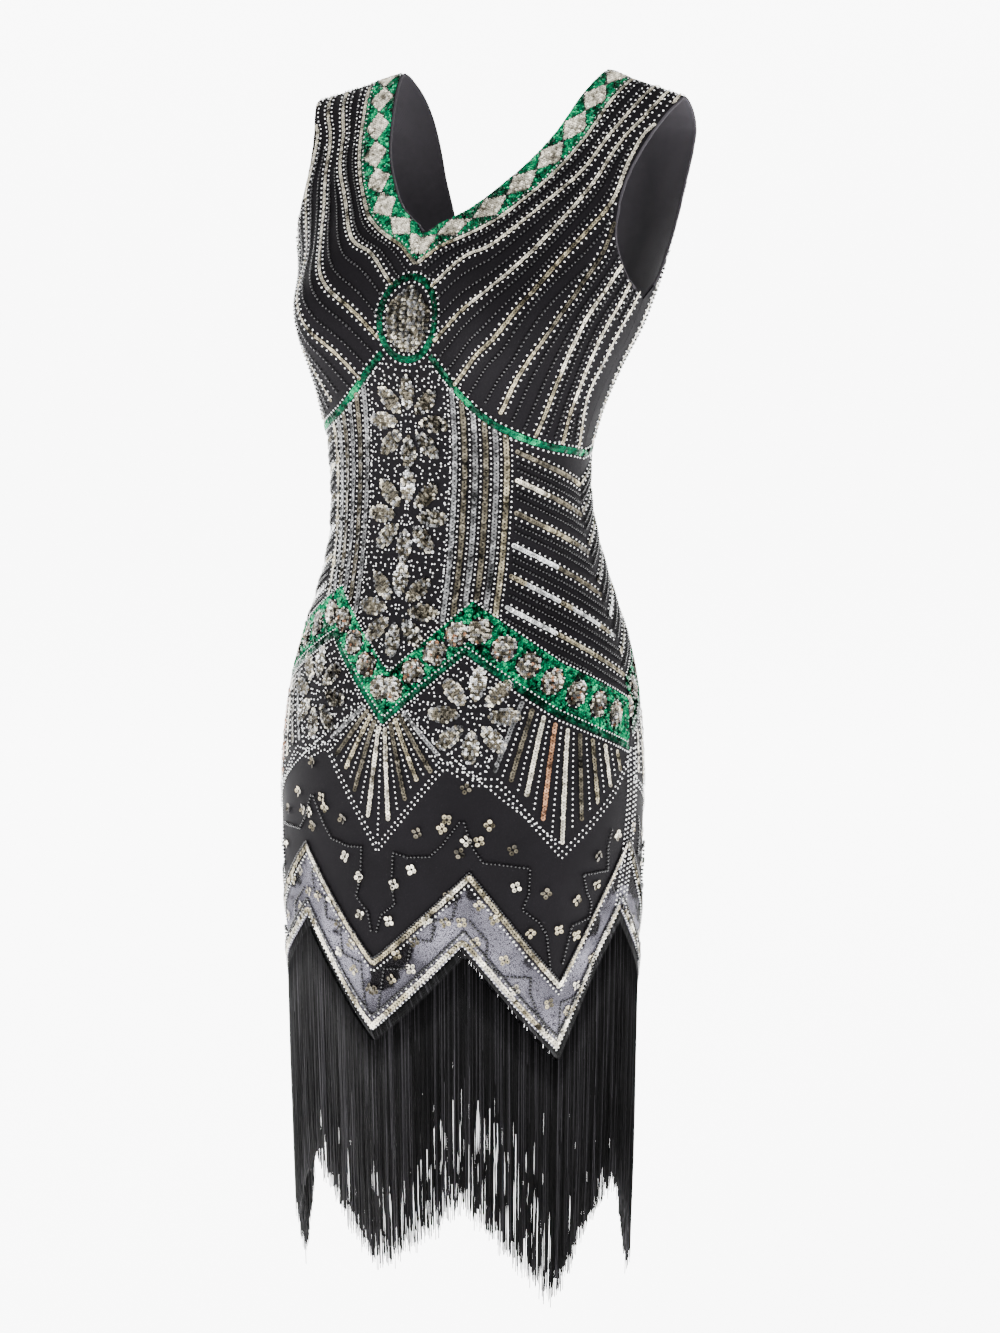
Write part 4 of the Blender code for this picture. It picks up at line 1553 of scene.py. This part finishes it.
def hang_threads(layer, back, tube):
    """One layer of threads, each a copy of the tube, gathered a little into locks."""
    points, normals, _, shares = hem_points(back, layer.drop, THREAD_STEP * layer.sparse)
    count = len(points)
    roots = points + normals * (layer.out * MM - THREAD_SINK)
    lock = (np.arange(count) + layer.first) // THREADS_PER_LOCK
    in_lock = np.maximum(np.bincount(lock), 1)
    middles = np.stack([np.bincount(lock, roots[:, axis]) / in_lock for axis in range(3)], -1)
    locks = len(middles)
    gather = LOCK_GATHER * chance.uniform(0.2, 1.5, locks)[lock]
    sway = chance.normal(0.0, LOCK_SWAY, (locks, 2))[lock] + chance.normal(0.0, THREAD_SWAY, (count, 2))
    length = thread_lengths(shares, lock, layer, back)
    wave = chance.uniform(0.0, 2 * math.pi, (count, 2))
    f = -tube[:, 2]
    swing = np.sin(wave[:, None, :] + f[None, :, None] * THREAD_WAVES) * THREAD_SWING * f[None, :, None]
    toward = (middles[lock] - roots)[:, None, :2] * (gather[:, None] * f[None] ** 0.8)[..., None]
    lean = -normals[:, None, :2] * (THREAD_LEAN * f[None] ** 1.5)[..., None]
    flat = roots[:, None, :2] + toward + lean + sway[:, None] * f[None, :, None] ** 1.1 + swing
    round_it = tube[None, :, :2] * THREAD_RADIUS * chance.uniform(0.8, 1.25, count)[:, None, None]
    down = roots[:, None, 2] - f[None] * length[:, None]
    return np.concatenate([flat + round_it, down[..., None]], -1)


def make_threads(back):
    """Loose threads that hang from the tape, in two layers."""
    tube, faces = thread_shape(3, THREAD_PARTS)
    copies = np.concatenate([hang_threads(layer, back, tube) for layer in THREAD_LAYERS])
    return piece_of_copies(f"fringe_threads_{PANEL_WORDS[back]}", copies, faces, "fringe")


def make_tape(back):
    """The tape's slanting loops, sewn side by side under the net's hem."""
    tube, faces = thread_shape(5, 3)
    points, normals, runs, _ = hem_points(back, TAPE_TOP, LOOP_STEP)
    f = -tube[:, 2]
    level = runs * np.array((1.0, 1.0, 0.0))
    level /= np.linalg.norm(level, axis=1, keepdims=True)
    middle = points[:, None] + level[:, None] * (f * LOOP_SLANT)[None, :, None]
    middle = middle - np.array((0.0, 0.0, 1.0)) * (f * TAPE_HEIGHT * MM)[None, :, None]
    middle = middle + normals[:, None] * (np.sin(f * math.pi) * LOOP_BOW - LOOP_SINK)[None, :, None]
    copies = middle + level[:, None] * (tube[:, 0] * LOOP_RADIUS)[None, :, None]
    copies = copies + normals[:, None] * (tube[:, 1] * LOOP_RADIUS)[None, :, None]
    return piece_of_copies(f"fringe_tape_{PANEL_WORDS[back]}", copies, faces, "tape")


# ---------------------------------------------------------------- turned edges

ROLL_RADIUS = 0.0014
ROLL_LIFT = -1.3


def make_turned_edges():
    """The turned and stitched edge of the neck and the armholes, as a thin roll."""
    curve = bpy.data.curves.new("turned_edges", "CURVE")
    curve.dimensions = "3D"
    curve.bevel_depth = ROLL_RADIUS
    curve.bevel_resolution = 1
    curve.use_fill_caps = True
    for back in PANEL_WORDS:
        for word in ("neck", "arm"):
            path = edge_path(word, back)[::2]
            for side in BOTH_SIDES:
                points, _ = on_cloth(path[:, 0] * side, path[:, 1], back, ROLL_LIFT)
                spline = curve.splines.new("POLY")
                spline.points.add(len(points) - 1)
                for spot, point in zip(spline.points, points):
                    spot.co = (*point, 1.0)
    finish_piece("turned_edges", curve, "lining")


# ---------------------------------------------------------------- stage, light and camera

CAMERA_PLACE = (1.0196, -1.7036, -0.052)
CAMERA_DOWN = 13.3
CAMERA_TURN = 31.02
CAMERA_LENS = 60.49
FLOOR_HEIGHT = -1.42
FLOOR_WIDE = 9.0
FLOOR_LONG = 14.0
FLOOR_NEAR = -4.0
FLOOR_FLAT = 7.0
FLOOR_BEND = 2.5
FLOOR_GLOW = 6.5
WHITE = (1.0, 1.0, 1.0, 1.0)


def make_stage():
    """A pale floor that bends up into a wall behind the dress, square to the camera."""
    stage = bmesh.new()
    bmesh.ops.create_grid(stage, x_segments=1, y_segments=48, size=1.0)
    for vertex in stage.verts:
        run = (vertex.co.y + 1) / 2 * FLOOR_LONG
        turn = min(max(run - FLOOR_FLAT, 0.0) / FLOOR_BEND, math.pi / 2)
        wall = max(0.0, run - FLOOR_FLAT - FLOOR_BEND * math.pi / 2)
        y = FLOOR_NEAR + min(run, FLOOR_FLAT) + FLOOR_BEND * math.sin(turn)
        z = FLOOR_HEIGHT + FLOOR_BEND * (1 - math.cos(turn)) + wall
        vertex.co = (vertex.co.x * FLOOR_WIDE, y, z)
    spin = Matrix.Rotation(math.radians(CAMERA_TURN), 3, "Z")
    bmesh.ops.rotate(stage, verts=stage.verts[:], cent=(0, 0, 0), matrix=spin)
    data = bpy.data.meshes.new("studio_floor")
    stage.to_mesh(data)
    stage.free()
    data.shade_smooth()
    floor = add_object("studio_floor", data)
    pale = {"Base_Color": (0.94, 0.94, 0.94, 1.0), "Emission_Color": WHITE, "Emission_Strength": FLOOR_GLOW}
    data.materials.append(Finish("pale_floor", Roughness=0.9, **pale).material)


Light = namedtuple("Light", "name place aim size power")
LIGHTS = (
    Light("key", (-0.6, -2.8, 1.2), (0.0, -0.1, -0.5), 1.4, 105.0),
    Light("fill", (2.8, -1.2, 0.4), (0.0, -0.1, -0.5), 1.6, 55.0),
    Light("top", (0.4, -0.4, 2.2), (0.0, -0.05, -0.3), 1.4, 34.0),
    Light("rim", (-2.4, 0.6, 0.4), (0.0, 0.0, -0.5), 1.4, 26.0),
)
SURROUND_STRENGTH = 0.6


def make_lights():
    """Four soft lamps and an even white surround."""
    for light in LIGHTS:
        lamp = bpy.data.lights.new(light.name, "AREA")
        lamp.energy = light.power
        lamp.size = light.size
        holder = add_object(light.name, lamp)
        holder.location = light.place
        aim = Vector(light.aim) - Vector(light.place)
        holder.rotation_euler = aim.to_track_quat("-Z", "Y").to_euler()
    world = bpy.data.worlds.new("studio")
    world.use_nodes = True
    surround = world.node_tree.nodes["Background"]
    surround.inputs["Color"].default_value = WHITE
    surround.inputs["Strength"].default_value = SURROUND_STRENGTH
    bpy.context.scene.world = world


def make_camera():
    """The camera, level from side to side, in front of the dress on the wearer's left."""
    data = bpy.data.cameras.new("camera")
    data.lens = CAMERA_LENS
    data.sensor_width = 36.0
    data.sensor_fit = "AUTO"
    camera = add_object("camera", data)
    camera.location = CAMERA_PLACE
    camera.rotation_euler = (math.radians(90.0 - CAMERA_DOWN), 0.0, math.radians(CAMERA_TURN))
    bpy.context.scene.camera = camera


# ---------------------------------------------------------------- the dress

def main():
    """Makes the studio, sews on the beadwork and makes every piece of the dress."""
    make_camera()
    make_stage()
    make_lights()
    sew_all()
    beadwork = {False: [], True: []}
    for kind, back in sewn:
        beadwork[back].append(lay_out(kind, back))
    for back, word in PANEL_WORDS.items():
        net = make_shell(NET, back)
        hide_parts(f"net_{word}")
        lining = make_shell(LINING, back)
        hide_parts(f"lining_{word}")
        threads = make_threads(back)
        tape = make_tape(back)
        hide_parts(f"fringe_{word}")
    make_turned_edges()


main()
